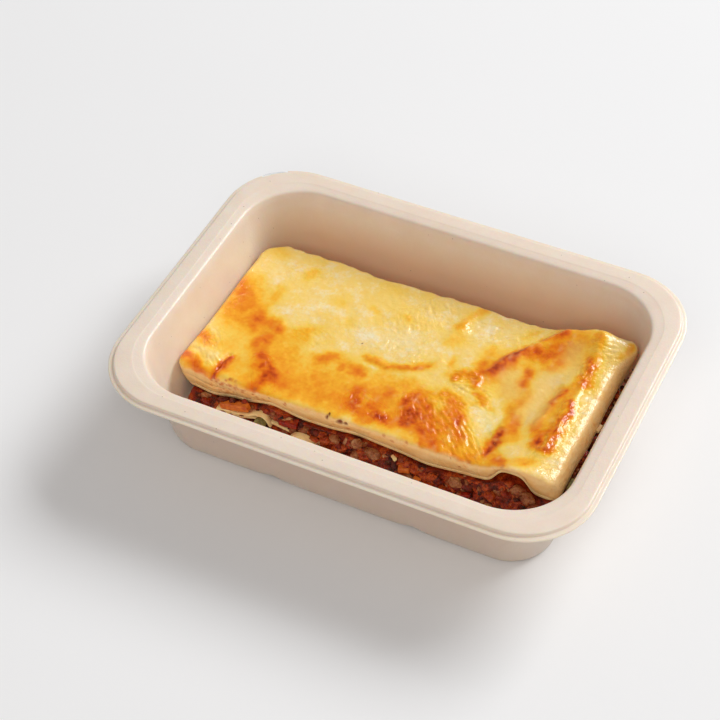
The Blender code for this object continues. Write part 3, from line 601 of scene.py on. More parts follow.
# Loose scraps that show at the front and in the gap on the right: middle, size, heading, kind
SCRAPS = (
    ((13.4, -33.4, 13.6), (2.4, 1.2, 1.0), -30.0, "pasta"),
    ((6.0, -35.6, 6.0), (3.6, 1.2, 0.8), 20.0, "pasta"),
    ((-35.0, -35.8, 6.2), (6.4, 1.3, 0.9), -14.0, "pasta"),
    ((-10.0, -36.4, 4.8), (2.6, 1.2, 0.9), 40.0, "pasta"),
    ((76.4, 6.0, 18.4), (1.2, 3.4, 1.4), -6.0, "pasta"),
    ((-16.0, -35.6, 5.6), (3.4, 1.8, 1.2), 8.0, "carrot"),
    ((23.0, -34.4, 7.4), (2.6, 1.4, 1.2), -12.0, "carrot"),
    ((76.0, -6.0, 17.0), (1.4, 2.6, 1.6), 4.0, "tomato"),
    ((-4.0, -35.2, 7.0), (3.4, 1.6, 1.2), -10.0, "tomato"),
    ((42.0, -34.4, 8.4), (3.4, 1.6, 1.4), 22.0, "tomato"),
)

# Colours as seen on a screen, from 0 to 255
FLOOR_COLOUR = (243, 243, 244)
FIBRE_COLOUR = (240, 226, 211)
FIBRE_SHADE = (233, 216, 197)
FIBRE_SPECK = (150, 126, 106)
# Outer walls: painted shade, the fibre darkened there to stand in for the shade the outer walls lie in
OUTSIDE_PAINTED_SHADE = (205, 187, 168)
OUTSIDE_PAINTED_SHADE_SHARE = 0.75
# Inner back wall: painted bounce light, a warmer tone that stands in for light thrown back from the food
PAINTED_BOUNCE_COLOUR = (232, 200, 154)
PAINTED_BOUNCE_SHARE = 0.7
FIBRE_MESH = 0.9  # spacing of the screen's print on its outside
FIBRE_GLOW = 0.45
FIBRE_GLOW_DEPTH = 1.8
BAKE_RAMP = (
    (0.00, (255, 229, 172)),
    (0.14, (255, 215, 120)),
    (0.28, (255, 209, 88)),
    (0.42, (254, 184, 42)),
    (0.56, (244, 154, 20)),
    (0.70, (238, 128, 14)),
    (0.85, (216, 92, 10)),
    (1.00, (170, 54, 8)),
)
DULL_COLOUR = (236, 196, 112)
# Whiter patches on the pale top: partly whiter cream, partly painted sheen standing in for glossy highlights
CREAM_AND_SHEEN_COLOUR = (255, 243, 218)
FACE_COLOUR = (255, 216, 152)
FACE_SHADE = (255, 200, 122)
FACE_BLOTCH = (240, 160, 76)
FACE_STAIN = (206, 112, 52)
# painted shade in the holes of the cut face
HOLE_SHADE_COLOUR = (132, 60, 18)
PASTA_COLOUR = (255, 220, 160)
PASTA_STAIN = (222, 150, 80)
FILM_RAMP = ((0.3, (236, 240, 246)), (0.7, (250, 250, 250)))
MEAT_RAMP = (
    (0.00, (50, 6, 0)),
    (0.20, (98, 20, 0)),
    (0.40, (154, 40, 2)),
    (0.54, (198, 84, 18)),
    (0.64, (138, 44, 8)),
    (0.76, (150, 78, 38)),
    (0.88, (178, 114, 70)),
    (1.00, (214, 160, 112)),
)
CARROT_COLOURS = ((226, 128, 40), (196, 86, 24))
TOMATO_COLOURS = ((168, 40, 18), (120, 22, 12))
OLIVE_COLOURS = ((150, 138, 74), (96, 84, 40))


# General helpers


def linear(colour):
    """Screen colour from 0 to 255 as the linear colour that a shader takes."""
    shares = [channel / 255.0 for channel in colour]
    return tuple(s / 12.92 if s <= 0.04045 else ((s + 0.055) / 1.055) ** 2.4 for s in shares) + (1.0,)


def smoothstep(start, end, value):
    share = np.clip((value - start) / (end - start), 0.0, 1.0)
    return share * share * (3.0 - 2.0 * share)


def waver(x, y, length, layer):
    """Smooth noise between about -1 and 1 that varies over the given length, for numbers or arrays."""
    spots = zip(np.ravel(x) / length, np.ravel(y) / length)
    values = [noise.noise((a, b, layer)) for a, b in spots]
    return np.reshape(values, np.shape(x))


def piece_from(name, verts, faces, material, slot, nodes=(), attributes=None):
    """Makes a piece from points in millimetres; attributes are numbers for each point."""
    mesh = bpy.data.meshes.new(name)
    mesh.from_pydata([tuple(MM * c for c in vert) for vert in verts], [], faces)
    for key, values in (attributes or {}).items():
        mesh.attributes.new(key, "FLOAT", "POINT").data.foreach_set("value", np.asarray(values, float))
    mesh.shade_smooth()
    mesh.materials.append(material)
    piece = bpy.data.objects.new(name, mesh)
    bpy.context.scene.collection.objects.link(piece)
    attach(piece, "root")
    if nodes:
        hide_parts(*nodes)
    return piece


def evaluated_mesh(obj):
    graph = bpy.context.evaluated_depsgraph_get()
    return bpy.data.meshes.new_from_object(obj.evaluated_get(graph))


def tube_faces(rings, count):
    """Faces of a tube of rings with count points each, closed at both ends."""
    total = rings * count
    faces = [tuple(range(count)), tuple(range(total - 1, total - count - 1, -1))]
    for low in range(0, total - count, count):
        for index in range(count):
            after = (index + 1) % count
            faces.append((low + index, low + count + index, low + count + after, low + after))
    return faces


# Materials


class Nodes:
    """A material's node tree, with short calls for the nodes used here."""

    def __init__(self, name):
        self.material = bpy.data.materials.new(name)
        self.material.use_nodes = True
        self.tree = self.material.node_tree
        self.shader = self.tree.nodes["Principled BSDF"]

    def feed(self, socket, value):
        """Links an output to a socket, or sets the socket to a number or a colour."""
        if isinstance(value, bpy.types.NodeSocket):
            self.tree.links.new(value, socket)
        else:
            socket.default_value = value

    def add(self, kind, **inputs):
        node = self.tree.nodes.new(kind)
        for key, value in inputs.items():
            self.feed(node.inputs[key.replace("_", " ")], value)
        return node

    def link(self, output, node, key):
        self.tree.links.new(output, node.inputs[key])

    def place(self):
        """Places in the object's own frame, in millimetres."""
        coordinates = self.tree.nodes.new("ShaderNodeTexCoord")
        scaled = self.add("ShaderNodeVectorMath", Vector=coordinates.outputs["Object"])
        scaled.operation = "SCALE"
        scaled.inputs["Scale"].default_value = 1.0 / MM
        return scaled.outputs["Vector"]

    def noise(self, place, length, detail=3.0, roughness=0.55):
        grain = {"Scale": 1.0 / length, "Detail": detail, "Roughness": roughness}
        return self.add("ShaderNodeTexNoise", Vector=place, **grain).outputs["Fac"]

    def attribute(self, key):
        node = self.tree.nodes.new("ShaderNodeAttribute")
        node.attribute_name = key
        return node.outputs["Fac"]

    def math(self, operation, first, second, clamp=False):
        node = self.tree.nodes.new("ShaderNodeMath")
        node.operation = operation
        node.use_clamp = clamp
        self.feed(node.inputs[0], first)
        self.feed(node.inputs[1], second)
        return node.outputs["Value"]

    def swing(self, value, amount):
        """Turns noise from 0 to 1 into a change from about -amount/2 to amount/2."""
        return self.math("MULTIPLY", self.math("SUBTRACT", value, 0.5), amount)

    def range(self, value, start, end, low, high):
        node = self.add("ShaderNodeMapRange", Value=value)
        node.inputs["From Min"].default_value = start
        node.inputs["From Max"].default_value = end
        node.inputs["To Min"].default_value = low
        node.inputs["To Max"].default_value = high
        return node.outputs["Result"]

    def ramp(self, value, stops):
        node = self.add("ShaderNodeValToRGB", Fac=value)
        elements = node.color_ramp.elements
        while len(elements) < len(stops):
            elements.new(1.0)
        for element, (position, colour) in zip(elements, stops):
            element.position = position
            element.color = linear(colour)
        return node.outputs["Color"]

    def mix(self, share, first, second):
        node = self.tree.nodes.new("ShaderNodeMix")
        node.data_type = "RGBA"
        for index, value in ((0, share), (6, first), (7, second)):
            self.feed(node.inputs[index], value)
        return node.outputs[2]

    def bump(self, height, distance, strength=1.0):
        node = self.add("ShaderNodeBump", Height=height, Strength=strength, Distance=distance * MM)
        self.link(node.outputs["Normal"], self.shader, "Normal")

    def set(self, **values):
        for key, value in values.items():
            self.shader.inputs[key.replace("_", " ")].default_value = value


def soft_inside(nodes, weight, depth):
    """Lets light into the food: weight of it, and how deep in millimetres."""
    nodes.set(Subsurface_Weight=weight, Subsurface_Radius=(1.0, 0.55, 0.25), Subsurface_Scale=depth * MM)


def fibre_material():
    nodes = Nodes("pressed_fibre")
    place = nodes.place()
    cloud = nodes.noise(place, 9.0, 4.0)
    grain = nodes.noise(place, 0.7, 3.0, 0.7)
    tone = nodes.math("ADD", nodes.range(cloud, 0.3, 0.7, 0.0, 0.6), nodes.swing(grain, 0.7))
    colour = nodes.mix(tone, linear(FIBRE_COLOUR), linear(FIBRE_SHADE))
    outside = nodes.attribute("outside")
    # painted shade on the outer walls
    colour = nodes.mix(nodes.math("MULTIPLY", outside, OUTSIDE_PAINTED_SHADE_SHARE), colour, linear(OUTSIDE_PAINTED_SHADE))
    # painted bounce light on the inner back wall
    painted_bounce = nodes.math("MULTIPLY", nodes.attribute("painted_bounce"), PAINTED_BOUNCE_SHARE)
    colour = nodes.mix(painted_bounce, colour, linear(PAINTED_BOUNCE_COLOUR))
    cells = nodes.add("ShaderNodeTexVoronoi", Vector=place, Scale=1.0 / 5.0)
    speck = nodes.range(cells.outputs["Distance"], 0.05, 0.03, 0.0, 0.75)
    colour = nodes.mix(speck, colour, linear(FIBRE_SPECK))
    nodes.link(colour, nodes.shader, "Base Color")
    nodes.link(nodes.range(cloud, 0.3, 0.7, 0.36, 0.44), nodes.shader, "Roughness")
    nodes.set(Specular_IOR_Level=0.5, Coat_Weight=0.25, Coat_Roughness=0.14)
    soft_inside(nodes, FIBRE_GLOW, FIBRE_GLOW_DEPTH)
    screen = nodes.add("ShaderNodeTexVoronoi", Vector=place, Scale=1.0 / FIBRE_MESH, Randomness=0.25)
    print_height = nodes.math("MULTIPLY", screen.outputs["Distance"], nodes.math("MULTIPLY", outside, 1.6))
    relief = nodes.math("ADD", grain, nodes.noise(place, 2.2, 2.0))
    nodes.bump(nodes.math("ADD", relief, print_height), 0.07, 0.6)
    return nodes.material


def baked_material():
    """Baked white sauce: the browning attribute sets the colour, with fine unevenness in it."""
    nodes = Nodes("baked_sauce")
    place = nodes.place()
    fine = nodes.noise(place, 1.3, 4.0, 0.6)
    broad = nodes.noise(place, 5.0, 3.0)
    bake = nodes.math("ADD", nodes.attribute("bake"), nodes.swing(fine, 0.18))
    bake = nodes.math("ADD", bake, nodes.swing(broad, 0.12), clamp=True)
    colour = nodes.ramp(bake, BAKE_RAMP)
    # whiter cream with painted sheen, on the pale parts of the top
    cream_and_sheen = nodes.range(nodes.noise(place, 6.5, 5.0, 0.68), 0.5, 0.68, 0.0, 0.8)
    pale = nodes.range(bake, 0.06, 0.3, 1.0, 0.0)
    colour = nodes.mix(nodes.math("MULTIPLY", cream_and_sheen, pale), colour, linear(CREAM_AND_SHEEN_COLOUR))
    colour = nodes.mix(nodes.attribute("dull"), colour, linear(DULL_COLOUR))
    face_tone = nodes.mix(nodes.range(broad, 0.35, 0.7, 0.0, 1.0), linear(FACE_COLOUR), linear(FACE_SHADE))
    blotch = nodes.range(nodes.noise(place, 3.2, 4.0, 0.6), 0.58, 0.7, 0.0, 0.45)
    face_tone = nodes.mix(blotch, face_tone, linear(FACE_BLOTCH))
    colour = nodes.mix(nodes.attribute("face"), colour, face_tone)
    colour = nodes.mix(nodes.attribute("stain"), colour, linear(FACE_STAIN))
    # painted shade in the face's holes, and the small spot on the top
    colour = nodes.mix(nodes.attribute("hole"), colour, linear(HOLE_SHADE_COLOUR))
    nodes.link(colour, nodes.shader, "Base Color")
    nodes.link(nodes.range(nodes.attribute("wet"), 0.0, 1.0, 0.32, 0.18), nodes.shader, "Roughness")
    nodes.set(Specular_IOR_Level=0.5, Coat_Weight=0.4, Coat_Roughness=0.09)
    soft_inside(nodes, 0.3, 2.0)
    nodes.link(nodes.range(nodes.attribute("face"), 0.0, 1.0, 0.3, 0.1), nodes.shader, "Subsurface Weight")
    pits = nodes.noise(place, 0.7, 3.0, 0.6)
    skin = nodes.math("ADD", pits, nodes.noise(place, 1.7, 2.0))
    depth = nodes.range(nodes.attribute("wet"), 0.0, 1.0, 0.6, 1.5)
    depth = nodes.math("ADD", depth, nodes.math("MULTIPLY", nodes.attribute("face"), 1.4))
    nodes.bump(nodes.math("MULTIPLY", skin, depth), 0.15, 0.7)
    return nodes.material


def pasta_material():
    nodes = Nodes("cooked_pasta")
    place = nodes.place()
    cloud = nodes.noise(place, 4.0, 4.0, 0.6)
    colour = nodes.mix(nodes.range(cloud, 0.5, 0.8, 0.0, 0.8), linear(PASTA_COLOUR), linear(PASTA_STAIN))
    nodes.link(colour, nodes.shader, "Base Color")
    nodes.link(nodes.range(cloud, 0.3, 0.7, 0.28, 0.4), nodes.shader, "Roughness")
    nodes.set(Specular_IOR_Level=0.5)
    soft_inside(nodes, 0.3, 1.6)
    nodes.bump(nodes.noise(place, 1.2, 3.0), 0.1, 0.5)
    return nodes.material


def meat_material():
    """Minced meat in sauce: the tone attribute says which bit is meat, sauce or oil."""
    nodes = Nodes("minced_meat")
    place = nodes.place()
    fine = nodes.noise(place, 0.9, 5.0, 0.7)
    broad = nodes.noise(place, 5.0, 3.0)
    tone = nodes.math("ADD", nodes.attribute("tone"), nodes.swing(fine, 0.6))
    tone = nodes.math("ADD", tone, nodes.swing(broad, 0.6), clamp=True)
    nodes.link(nodes.ramp(tone, MEAT_RAMP), nodes.shader, "Base Color")
    nodes.link(nodes.range(fine, 0.3, 0.7, 0.2, 0.5), nodes.shader, "Roughness")
    nodes.set(Specular_IOR_Level=0.4, Coat_Weight=0.25, Coat_Roughness=0.12)
    soft_inside(nodes, 0.2, 1.0)
    nodes.bump(nodes.math("ADD", fine, nodes.noise(place, 0.45, 2.0)), 0.3, 1.0)
    return nodes.material


def vegetable_material(name, colours, roughness):
    nodes = Nodes(name)
    place = nodes.place()
    cloud = nodes.noise(place, 1.6, 4.0, 0.6)
    colour = nodes.mix(nodes.range(cloud, 0.35, 0.65, 0.0, 1.0), linear(colours[0]), linear(colours[1]))
    nodes.link(colour, nodes.shader, "Base Color")
    nodes.link(nodes.range(cloud, 0.3, 0.7, roughness - 0.06, roughness + 0.08), nodes.shader, "Roughness")
    nodes.set(Specular_IOR_Level=0.5)
    soft_inside(nodes, 0.2, 1.0)
    nodes.bump(nodes.noise(place, 0.6, 3.0), 0.1, 0.5)
    return nodes.material


def film_material():
    nodes = Nodes("frayed_film")
    place = nodes.place()
    cloud = nodes.noise(place, 1.5, 2.0)
    nodes.link(nodes.ramp(cloud, FILM_RAMP), nodes.shader, "Base Color")
    nodes.set(Roughness=0.3, Alpha=0.75)
    return nodes.material


def floor_material():
    nodes = Nodes("pale_floor")
    place = nodes.place()
    cloud = nodes.noise(place, 160.0, 2.0)
    paler = tuple(channel - 2 for channel in FLOOR_COLOUR)
    nodes.link(nodes.mix(cloud, linear(FLOOR_COLOUR), linear(paler)), nodes.shader, "Base Color")
    nodes.set(Roughness=0.7, Specular_IOR_Level=0.2)
    return nodes.material


# Moulded fibre tray


def rib_lift(x):
    """Height of the pressed ribs under the floor at this place along the tray."""
    lift = 0.0
    for place in RIB_PLACES:
        across = abs(x - place) / RIB_HALF_WIDTH
        if across < 1.0:
            lift += RIB_HEIGHT * 0.5 * (1.0 + math.cos(math.pi * across))
    return lift


def long_side_stations():
    places = list(LONG_SIDE_PLACES)
    for rib in RIB_PLACES:
        for step in range(RIB_STEPS + 1):
            places.append(rib + RIB_HALF_WIDTH * (2.0 * step / RIB_STEPS - 1.0))
    return sorted(places)


def tray_loop(inset, height, radius, rib_share):
    """Points round the tray at one line of its section, counterclockwise from the front side's left end."""
    half_length = LIP_LENGTH / 2.0 - inset
    half_width = LIP_WIDTH / 2.0 - inset
    stations = long_side_stations()
    plan = [(x, -half_width) for x in stations]
    corners = (
        (half_length - radius, radius - half_width, -90.0),
        (half_length - radius, half_width - radius, 0.0),
        (radius - half_length, half_width - radius, 90.0),
        (radius - half_length, radius - half_width, 180.0),
    )
    for index, (centre_x, centre_y, start) in enumerate(corners):
        for step in range(TRAY_CORNER_STEPS + 1):
            angle = math.radians(start + 90.0 * step / TRAY_CORNER_STEPS)
            plan.append((centre_x + radius * math.cos(angle), centre_y + radius * math.sin(angle)))
        if index == 0:
            plan.extend((half_length, share * (half_width - radius)) for share in SHORT_SIDE_SHARES)
        if index == 1:
            plan.extend((x, half_width) for x in reversed(stations))
        if index == 2:
            plan.extend((-half_length, -share * (half_width - radius)) for share in SHORT_SIDE_SHARES)
    return [(x, y, height + rib_share * rib_lift(x)) for x, y in plan]


def tray_floor_fill(verts, faces, start, count, height):
    """Closes a loop with rings that shrink towards its middle, following the ribs."""
    ring = start
    for share in FLOOR_RINGS:
        first = len(verts)
        for index in range(count):
            x, y, _ = verts[start + index]
            verts.append((x, y * share, height + rib_lift(x)))
        for index in range(count):
            after = (index + 1) % count
            faces.append((ring + index, ring + after, first + after, first + index))
        ring = first
    faces.append(tuple(range(ring, ring + count)))


def lip_tear():
    """Ragged bite that takes a short stretch off the thin outer lip."""
    draw = random.Random(TEAR_SEED)
    start = Vector((*TEAR_FROM, 0.0))
    along = Vector((*TEAR_TO, 0.0)) - start
    inward = Vector((along.y, -along.x, 0.0)).normalized()
    outline = [start - inward * TEAR_REACH]
    for tooth in range(TEAR_TEETH + 1):
        share = tooth / TEAR_TEETH
        depth = TEAR_DEPTH * draw.uniform(0.75, 1.0) * math.sin(math.pi * (0.12 + 0.76 * share)) ** 0.3
        outline.append(start + along * share + inward * depth)
    outline.append(start + along - inward * TEAR_REACH)
    count = len(outline)
    verts = [(p.x * MM, p.y * MM, (LIP_HEIGHT - 3.0) * MM) for p in outline]
    verts += [(p.x * MM, p.y * MM, (LIP_HEIGHT + 0.7) * MM) for p in outline]
    faces = [tuple(range(count)), tuple(range(2 * count - 1, count - 1, -1))]
    faces += [(i, i + count, (i + 1) % count + count, (i + 1) % count) for i in range(count)]
    mesh = bpy.data.meshes.new("lip_tear")
    mesh.from_pydata(verts, [], faces)
    bm = bmesh.new()
    bm.from_mesh(mesh)
    bmesh.ops.recalc_face_normals(bm, faces=bm.faces)
    bm.to_mesh(mesh)
    bm.free()
    cutter = bpy.data.objects.new("lip_tear", mesh)
    bpy.context.scene.collection.objects.link(cutter)
    return cutter


def make_tray():
    verts = []
    faces = []
    count = len(tray_loop(*TRAY_SECTION[0]))
    for section in TRAY_SECTION:
        verts.extend(tray_loop(*section))
    for row in range(len(TRAY_SECTION) - 1):
        low = row * count
        high = low + count
        for index in range(count):
            after = (index + 1) % count
            faces.append((low + index, low + after, high + after, high + index))
    last_row = (len(TRAY_SECTION) - 1) * count
    tray_floor_fill(verts, faces, last_row, count, TRAY_SECTION[-1][1])
    tray_floor_fill(verts, faces, 0, count, TRAY_SECTION[0][1])
    # the outside mask carries the outer walls' painted shade and the screen's print
    outside = np.zeros(len(verts))
    outside[: OUTSIDE_ROWS * count] = 1.0
    # painted bounce light: how far the inner back wall takes the warm tone
    painted_bounce = np.zeros(len(verts))
    for index, (_, y, height) in enumerate(verts):
        if index >= INSIDE_ROW * count and height < INNER_WALL_TOP[1]:
            painted_bounce[index] = min(max((y - PAINTED_BOUNCE_FROM) / PAINTED_BOUNCE_RISE, 0.0), 1.0)
    attributes = {"outside": outside, "painted_bounce": painted_bounce}
    tray = piece_from("fibre_tray", verts, faces, fibre_material(), "moulded_fibre", ["tray"], attributes)
    subsurf = tray.modifiers.new("smooth", "SUBSURF")
    subsurf.levels = subsurf.render_levels = 2
    mesh = evaluated_mesh(tray)
    tray.modifiers.clear()
    bm = bmesh.new()
    bm.from_mesh(mesh)
    bmesh.ops.recalc_face_normals(bm, faces=bm.faces)
    bm.normal_update()
    for vert in bm.verts:
        shift = noise.noise(vert.co / (TRAY_UNEVEN_LENGTH * MM))
        vert.co += vert.normal * (TRAY_UNEVEN * MM * shift)
    bm.to_mesh(mesh)
    bm.free()
    tray.data = mesh
    cutter = lip_tear()
    boolean = tray.modifiers.new("tear", "BOOLEAN")
    boolean.operation = "DIFFERENCE"
    boolean.solver = "EXACT"
    boolean.object = cutter
    torn = evaluated_mesh(tray)
    tray.modifiers.clear()
    tray.data = torn
    bpy.data.objects.remove(cutter, do_unlink=True)


def make_film():
    """Thin scrap left in the torn place of the lip."""
    start = Vector((*TEAR_FROM, LIP_HEIGHT - 0.2))
    along = Vector((*TEAR_TO, LIP_HEIGHT - 0.2)) - start
    inward = Vector((along.y, -along.x, 0.0)).normalized()
    steps = 14
    verts = []
    for step in range(steps + 1):
        share = step / steps
        middle = start + along * (0.04 + 0.92 * share) + inward * (0.2 - 0.9 * math.sin(math.pi * share))
        width = 0.25 + 0.75 * math.sin(math.pi * share)
        lift = 0.15 * math.sin(3.0 * math.pi * share)
        for side, height in ((0.0, 0.0), (width, 0.1), (width, 0.0), (0.0, -0.1)):
            verts.append(tuple(middle + inward * side + Vector((0.0, 0.0, height + lift))))
    faces = []
    for step in range(steps):
        for side in range(4):
            after = (side + 1) % 4
            low = 4 * step
            faces.append((low + side, low + after, low + 4 + after, low + 4 + side))
    faces += [(3, 2, 1, 0), (4 * steps, 4 * steps + 1, 4 * steps + 2, 4 * steps + 3)]
    piece_from("lip_scrap", verts, faces, film_material(), "moulded_fibre")


# Heights in the food


def top_height(x, y):
    """Height of the baked top, with its swells and small ripples, as in the solid model."""
    height = TOP_LEFT + TOP_SLOPE * (x - SLAB_LEFT) / (SLAB_RIGHT - SLAB_LEFT)
    height = height + RAISE_HEIGHT * smoothstep(RAISE_FROM, RAISE_TO, x)
    for (middle_x, middle_y), half_length, half_width, heading, swell in TOP_SWELLS:
        turn = math.radians(heading)
        along = (x - middle_x) * math.cos(turn) + (y - middle_y) * math.sin(turn)
        across = (y - middle_y) * math.cos(turn) - (x - middle_x) * math.sin(turn)
        height = height + swell * np.exp(-((along / half_length) ** 2) - (across / half_width) ** 2)
    return height + TOP_RIPPLE * waver(x, y, TOP_RIPPLE_LENGTH, 3.0)


def bed_height(x):
    share = (x - SLAB_LEFT) / (SLAB_RIGHT - SLAB_LEFT)
    height = UNDERSIDE_LEFT + (UNDERSIDE_RIGHT - UNDERSIDE_LEFT) * share
    for middle, half_width, swell in BED_SWELLS:
        height = height + swell * np.exp(-(((x - middle) / half_width) ** 2))
    return height


def arch_rise(x, y):
    """How far the slab arches clear of the bed near its front edge."""
    arch = np.exp(-(((x - ARCH_MIDDLE) / ARCH_HALF_WIDTH) ** 4))
    return ARCH_HEIGHT * arch * smoothstep(ARCH_DEPTH_FROM, ARCH_DEPTH_TO, y)


def underside(x, y):
    """Height of the slab's lowest face."""
    return bed_height(x) + arch_rise(x, y)


def slab_foot(x, y):
    """Height of the baked sauce's lowest face."""
    return underside(x, y) + TOP_SHEET_THICKNESS + TOUCHING_SHOWN / 2.0


def upper_sheet_top(x, y):
    return underside(x, y) + TOP_SHEET_THICKNESS - TOUCHING_SHOWN / 2.0


def mid_sheet_bottom(x, y):
    phase = 2.0 * math.pi * (x - MID_SHEET_WAVE_START) / MID_SHEET_WAVE_LENGTH
    drop = MID_SHEET_DROP * smoothstep(MID_SHEET_DROP_FROM, MID_SHEET_DROP_TO, x)
    return MID_SHEET_HEIGHT + MID_SHEET_WAVE * np.sin(phase) + 0.3 * waver(x, y, 20.0, 8.0) - drop


def mid_sheet_top(x, y):
    return mid_sheet_bottom(x, y) + MID_SHEET_THICKNESS


def upper_sauce_top(x, y):
    return bed_height(x) + ARCH_FILL * arch_rise(x, y) - TOUCHING_GAP


def sauce_floor(x, y):
    lift = 0.0
    reach = RIB_HALF_WIDTH + RIB_SHOULDER
    for place in RIB_PLACES:
        lift = lift + 1.0 - smoothstep(RIB_HALF_WIDTH / 2.0, reach, np.abs(x - place))
    return FLOOR_TOP + RIB_HEIGHT * lift + TOUCHING_GAP


class Plan:
    """A rectangle with rounded, slightly wavering edges, seen from above."""

    def __init__(self, left, right, front, back, radii, wave, back_bulges=(), scallop=0.0):
        self.centre = ((left + right) / 2.0, (front + back) / 2.0)
        self.half = ((right - left) / 2.0, (back - front) / 2.0)
        self.radii = radii
        self.wave, self.wave_length, self.wave_layer = wave
        self.back_bulges = back_bulges
        self.scallop = scallop

    def points(self, across, along, grow):
        """Places of shares (-1 to 1) of the width and depth, on the plan grown by a distance."""
        half_x = self.half[0] + grow
        half_y = self.half[1] + grow
        front = along < 0.0
        left = across < 0.0
        radius = np.where(
            front,
            np.where(left, self.radii["front_left"], self.radii["front_right"]),
            np.where(left, self.radii["back_left"], self.radii["back_right"]),
        )
        radius = np.maximum(radius + grow, 0.2)
        x = np.abs(across) * half_x
        y = np.abs(along) * half_y
        share_x = np.clip((x - half_x + radius) / radius, 0.0, 1.0)
        share_y = np.clip((y - half_y + radius) / radius, 0.0, 1.0)
        inside = (share_x > 0.0) & (share_y > 0.0)
        round_x = half_x - radius + radius * share_x * np.sqrt(1.0 - share_y**2 / 2.0)
        round_y = half_y - radius + radius * share_y * np.sqrt(1.0 - share_x**2 / 2.0)
        x = self.centre[0] + np.where(inside, round_x, x) * np.where(left, -1.0, 1.0)
        y = self.centre[1] + np.where(inside, round_y, y) * np.where(front, -1.0, 1.0)
        near_back = np.maximum(along, 0.0) ** 4
        for middle, half_width, reach in self.back_bulges:
            y = y + reach * near_back * np.exp(-(((x - middle) / half_width) ** 2))
        if self.scallop:
            y = y + self.scallop * near_back**3 * waver(x, 0.0 * x, BACK_SCALLOP_LENGTH, 46.0)
        shift_x = self.wave * waver(x, y, self.wave_length, self.wave_layer)
        shift_y = self.wave * waver(x, y, self.wave_length, self.wave_layer + 40.0)
        return x + shift_x, y + shift_y


def slab_plan(inset=0.0):
    left = SLAB_LEFT + inset
    right = SLAB_RIGHT - inset
    front = SLAB_FRONT + inset
    back = SLAB_BACK - inset
    return Plan(left, right, front, back, SLAB_RADII, SLAB_WAVE, BACK_BULGES, BACK_SCALLOP)


def sauce_plan(spread, toe=0.0):
    front = SAUCE_FRONT - spread - toe
    return Plan(SAUCE_LEFT - spread, SAUCE_RIGHT, front, SAUCE_BACK + spread, SAUCE_RADII, SAUCE_WAVE)


def slab_lean(across, along, x, y, share):
    """How far a place in the slab is carried out of its plan, for a share of the height from its foot."""
    near = np.exp(-(((y - LEFT_LEAN_MIDDLE) / LEFT_LEAN_HALF_WIDTH) ** 2))
    left = LEFT_LEAN * near * share
    corner = np.exp(-(((y - BACK_CORNER_MIDDLE) / BACK_CORNER_HALF_WIDTH) ** 2))
    top_out = (RIGHT_TOP_IN + BACK_CORNER_OUT) * corner - RIGHT_TOP_IN
    right = FOOT_OUT * (1.0 - share) + top_out * share
    front = FOOT_OUT * (1.0 - share) * smoothstep(FRONT_FOOT_FROM, FRONT_FOOT_TO, x)
    shift_x = right * np.maximum(across, 0.0) ** 6 - left * np.maximum(-across, 0.0) ** 6
    return shift_x, -front * np.maximum(-along, 0.0) ** 6


def foot_lean(across, along, x, y, share):
    """The same for the sheet under the slab's foot."""
    return slab_lean(across, along, x, y, 0.0)


def side_rings(profile, count):
    """Rings at even steps down a side whose profile lists some of them, each as offset and share."""
    offsets, shares = zip(*reversed(profile))
    steps = np.linspace(1.0, 0.0, count).tolist()
    return [(float(np.interp(share, shares, offsets)), share) for share in steps]


def grid_layer(plan, cell, top, bottom, side, lean=None, slab=False):
    """Points and faces of a closed layer: a grid on top, one below, and rings down its side.

    side lists the rings: how far out of the grids' edge, and the share of the height, from 1 at the top.
    lean says how far each place is carried out of the plan. One face closes the slab below. Also returns
    each point's share.
    """
    columns = round(2.0 * plan.half[0] / cell)
    rows = round(2.0 * plan.half[1] / cell)
    column, row = np.meshgrid(np.arange(columns + 1), np.arange(rows + 1), indexing="ij")
    across = (2.0 * column / columns - 1.0).ravel()
    along = (2.0 * row / rows - 1.0).ravel()
    rim = [c * (rows + 1) for c in range(columns)]
    rim += [columns * (rows + 1) + r for r in range(rows)]
    rim += [c * (rows + 1) + rows for c in range(columns, 0, -1)]
    rim += [r for r in range(rows, 0, -1)]
    rim = np.array(rim)
    verts = []
    shares = []
    starts = []
    for index, (grow, share) in enumerate(side):
        whole = index == 0 or (index == len(side) - 1 and not slab)
        chosen = np.arange(across.size) if whole else rim
        x, y = plan.points(across[chosen], along[chosen], grow)
        if lean:
            shift_x, shift_y = lean(across[chosen], along[chosen], x, y, share)
            x = x + shift_x
            y = y + shift_y
        low = bottom(x, y)
        z = low + (top(x, y) - low) * share
        starts.append((len(verts), whole))
        verts.extend(zip(x, y, z))
        shares.extend([share] * len(x))
    faces = []
    last = starts[-1][0]
    for c in range(columns):
        for r in range(rows):
            a = c * (rows + 1) + r
            b = a + rows + 1
            faces.append((a, b, b + 1, a + 1))
            if not slab:
                faces.append((last + a, last + a + 1, last + b + 1, last + b))
    if slab:
        faces.append(tuple(range(last + rim.size - 1, last - 1, -1)))
    rings = [start + (rim if whole else np.arange(rim.size)) for start, whole in starts]
    for upper, lower in zip(rings, rings[1:]):
        upper_next = np.roll(upper, -1)
        lower_next = np.roll(lower, -1)
        faces.extend(zip(upper.tolist(), lower.tolist(), lower_next.tolist(), upper_next.tolist()))
    return np.array(verts), faces, np.array(shares)


# Browning and relief of the baked top


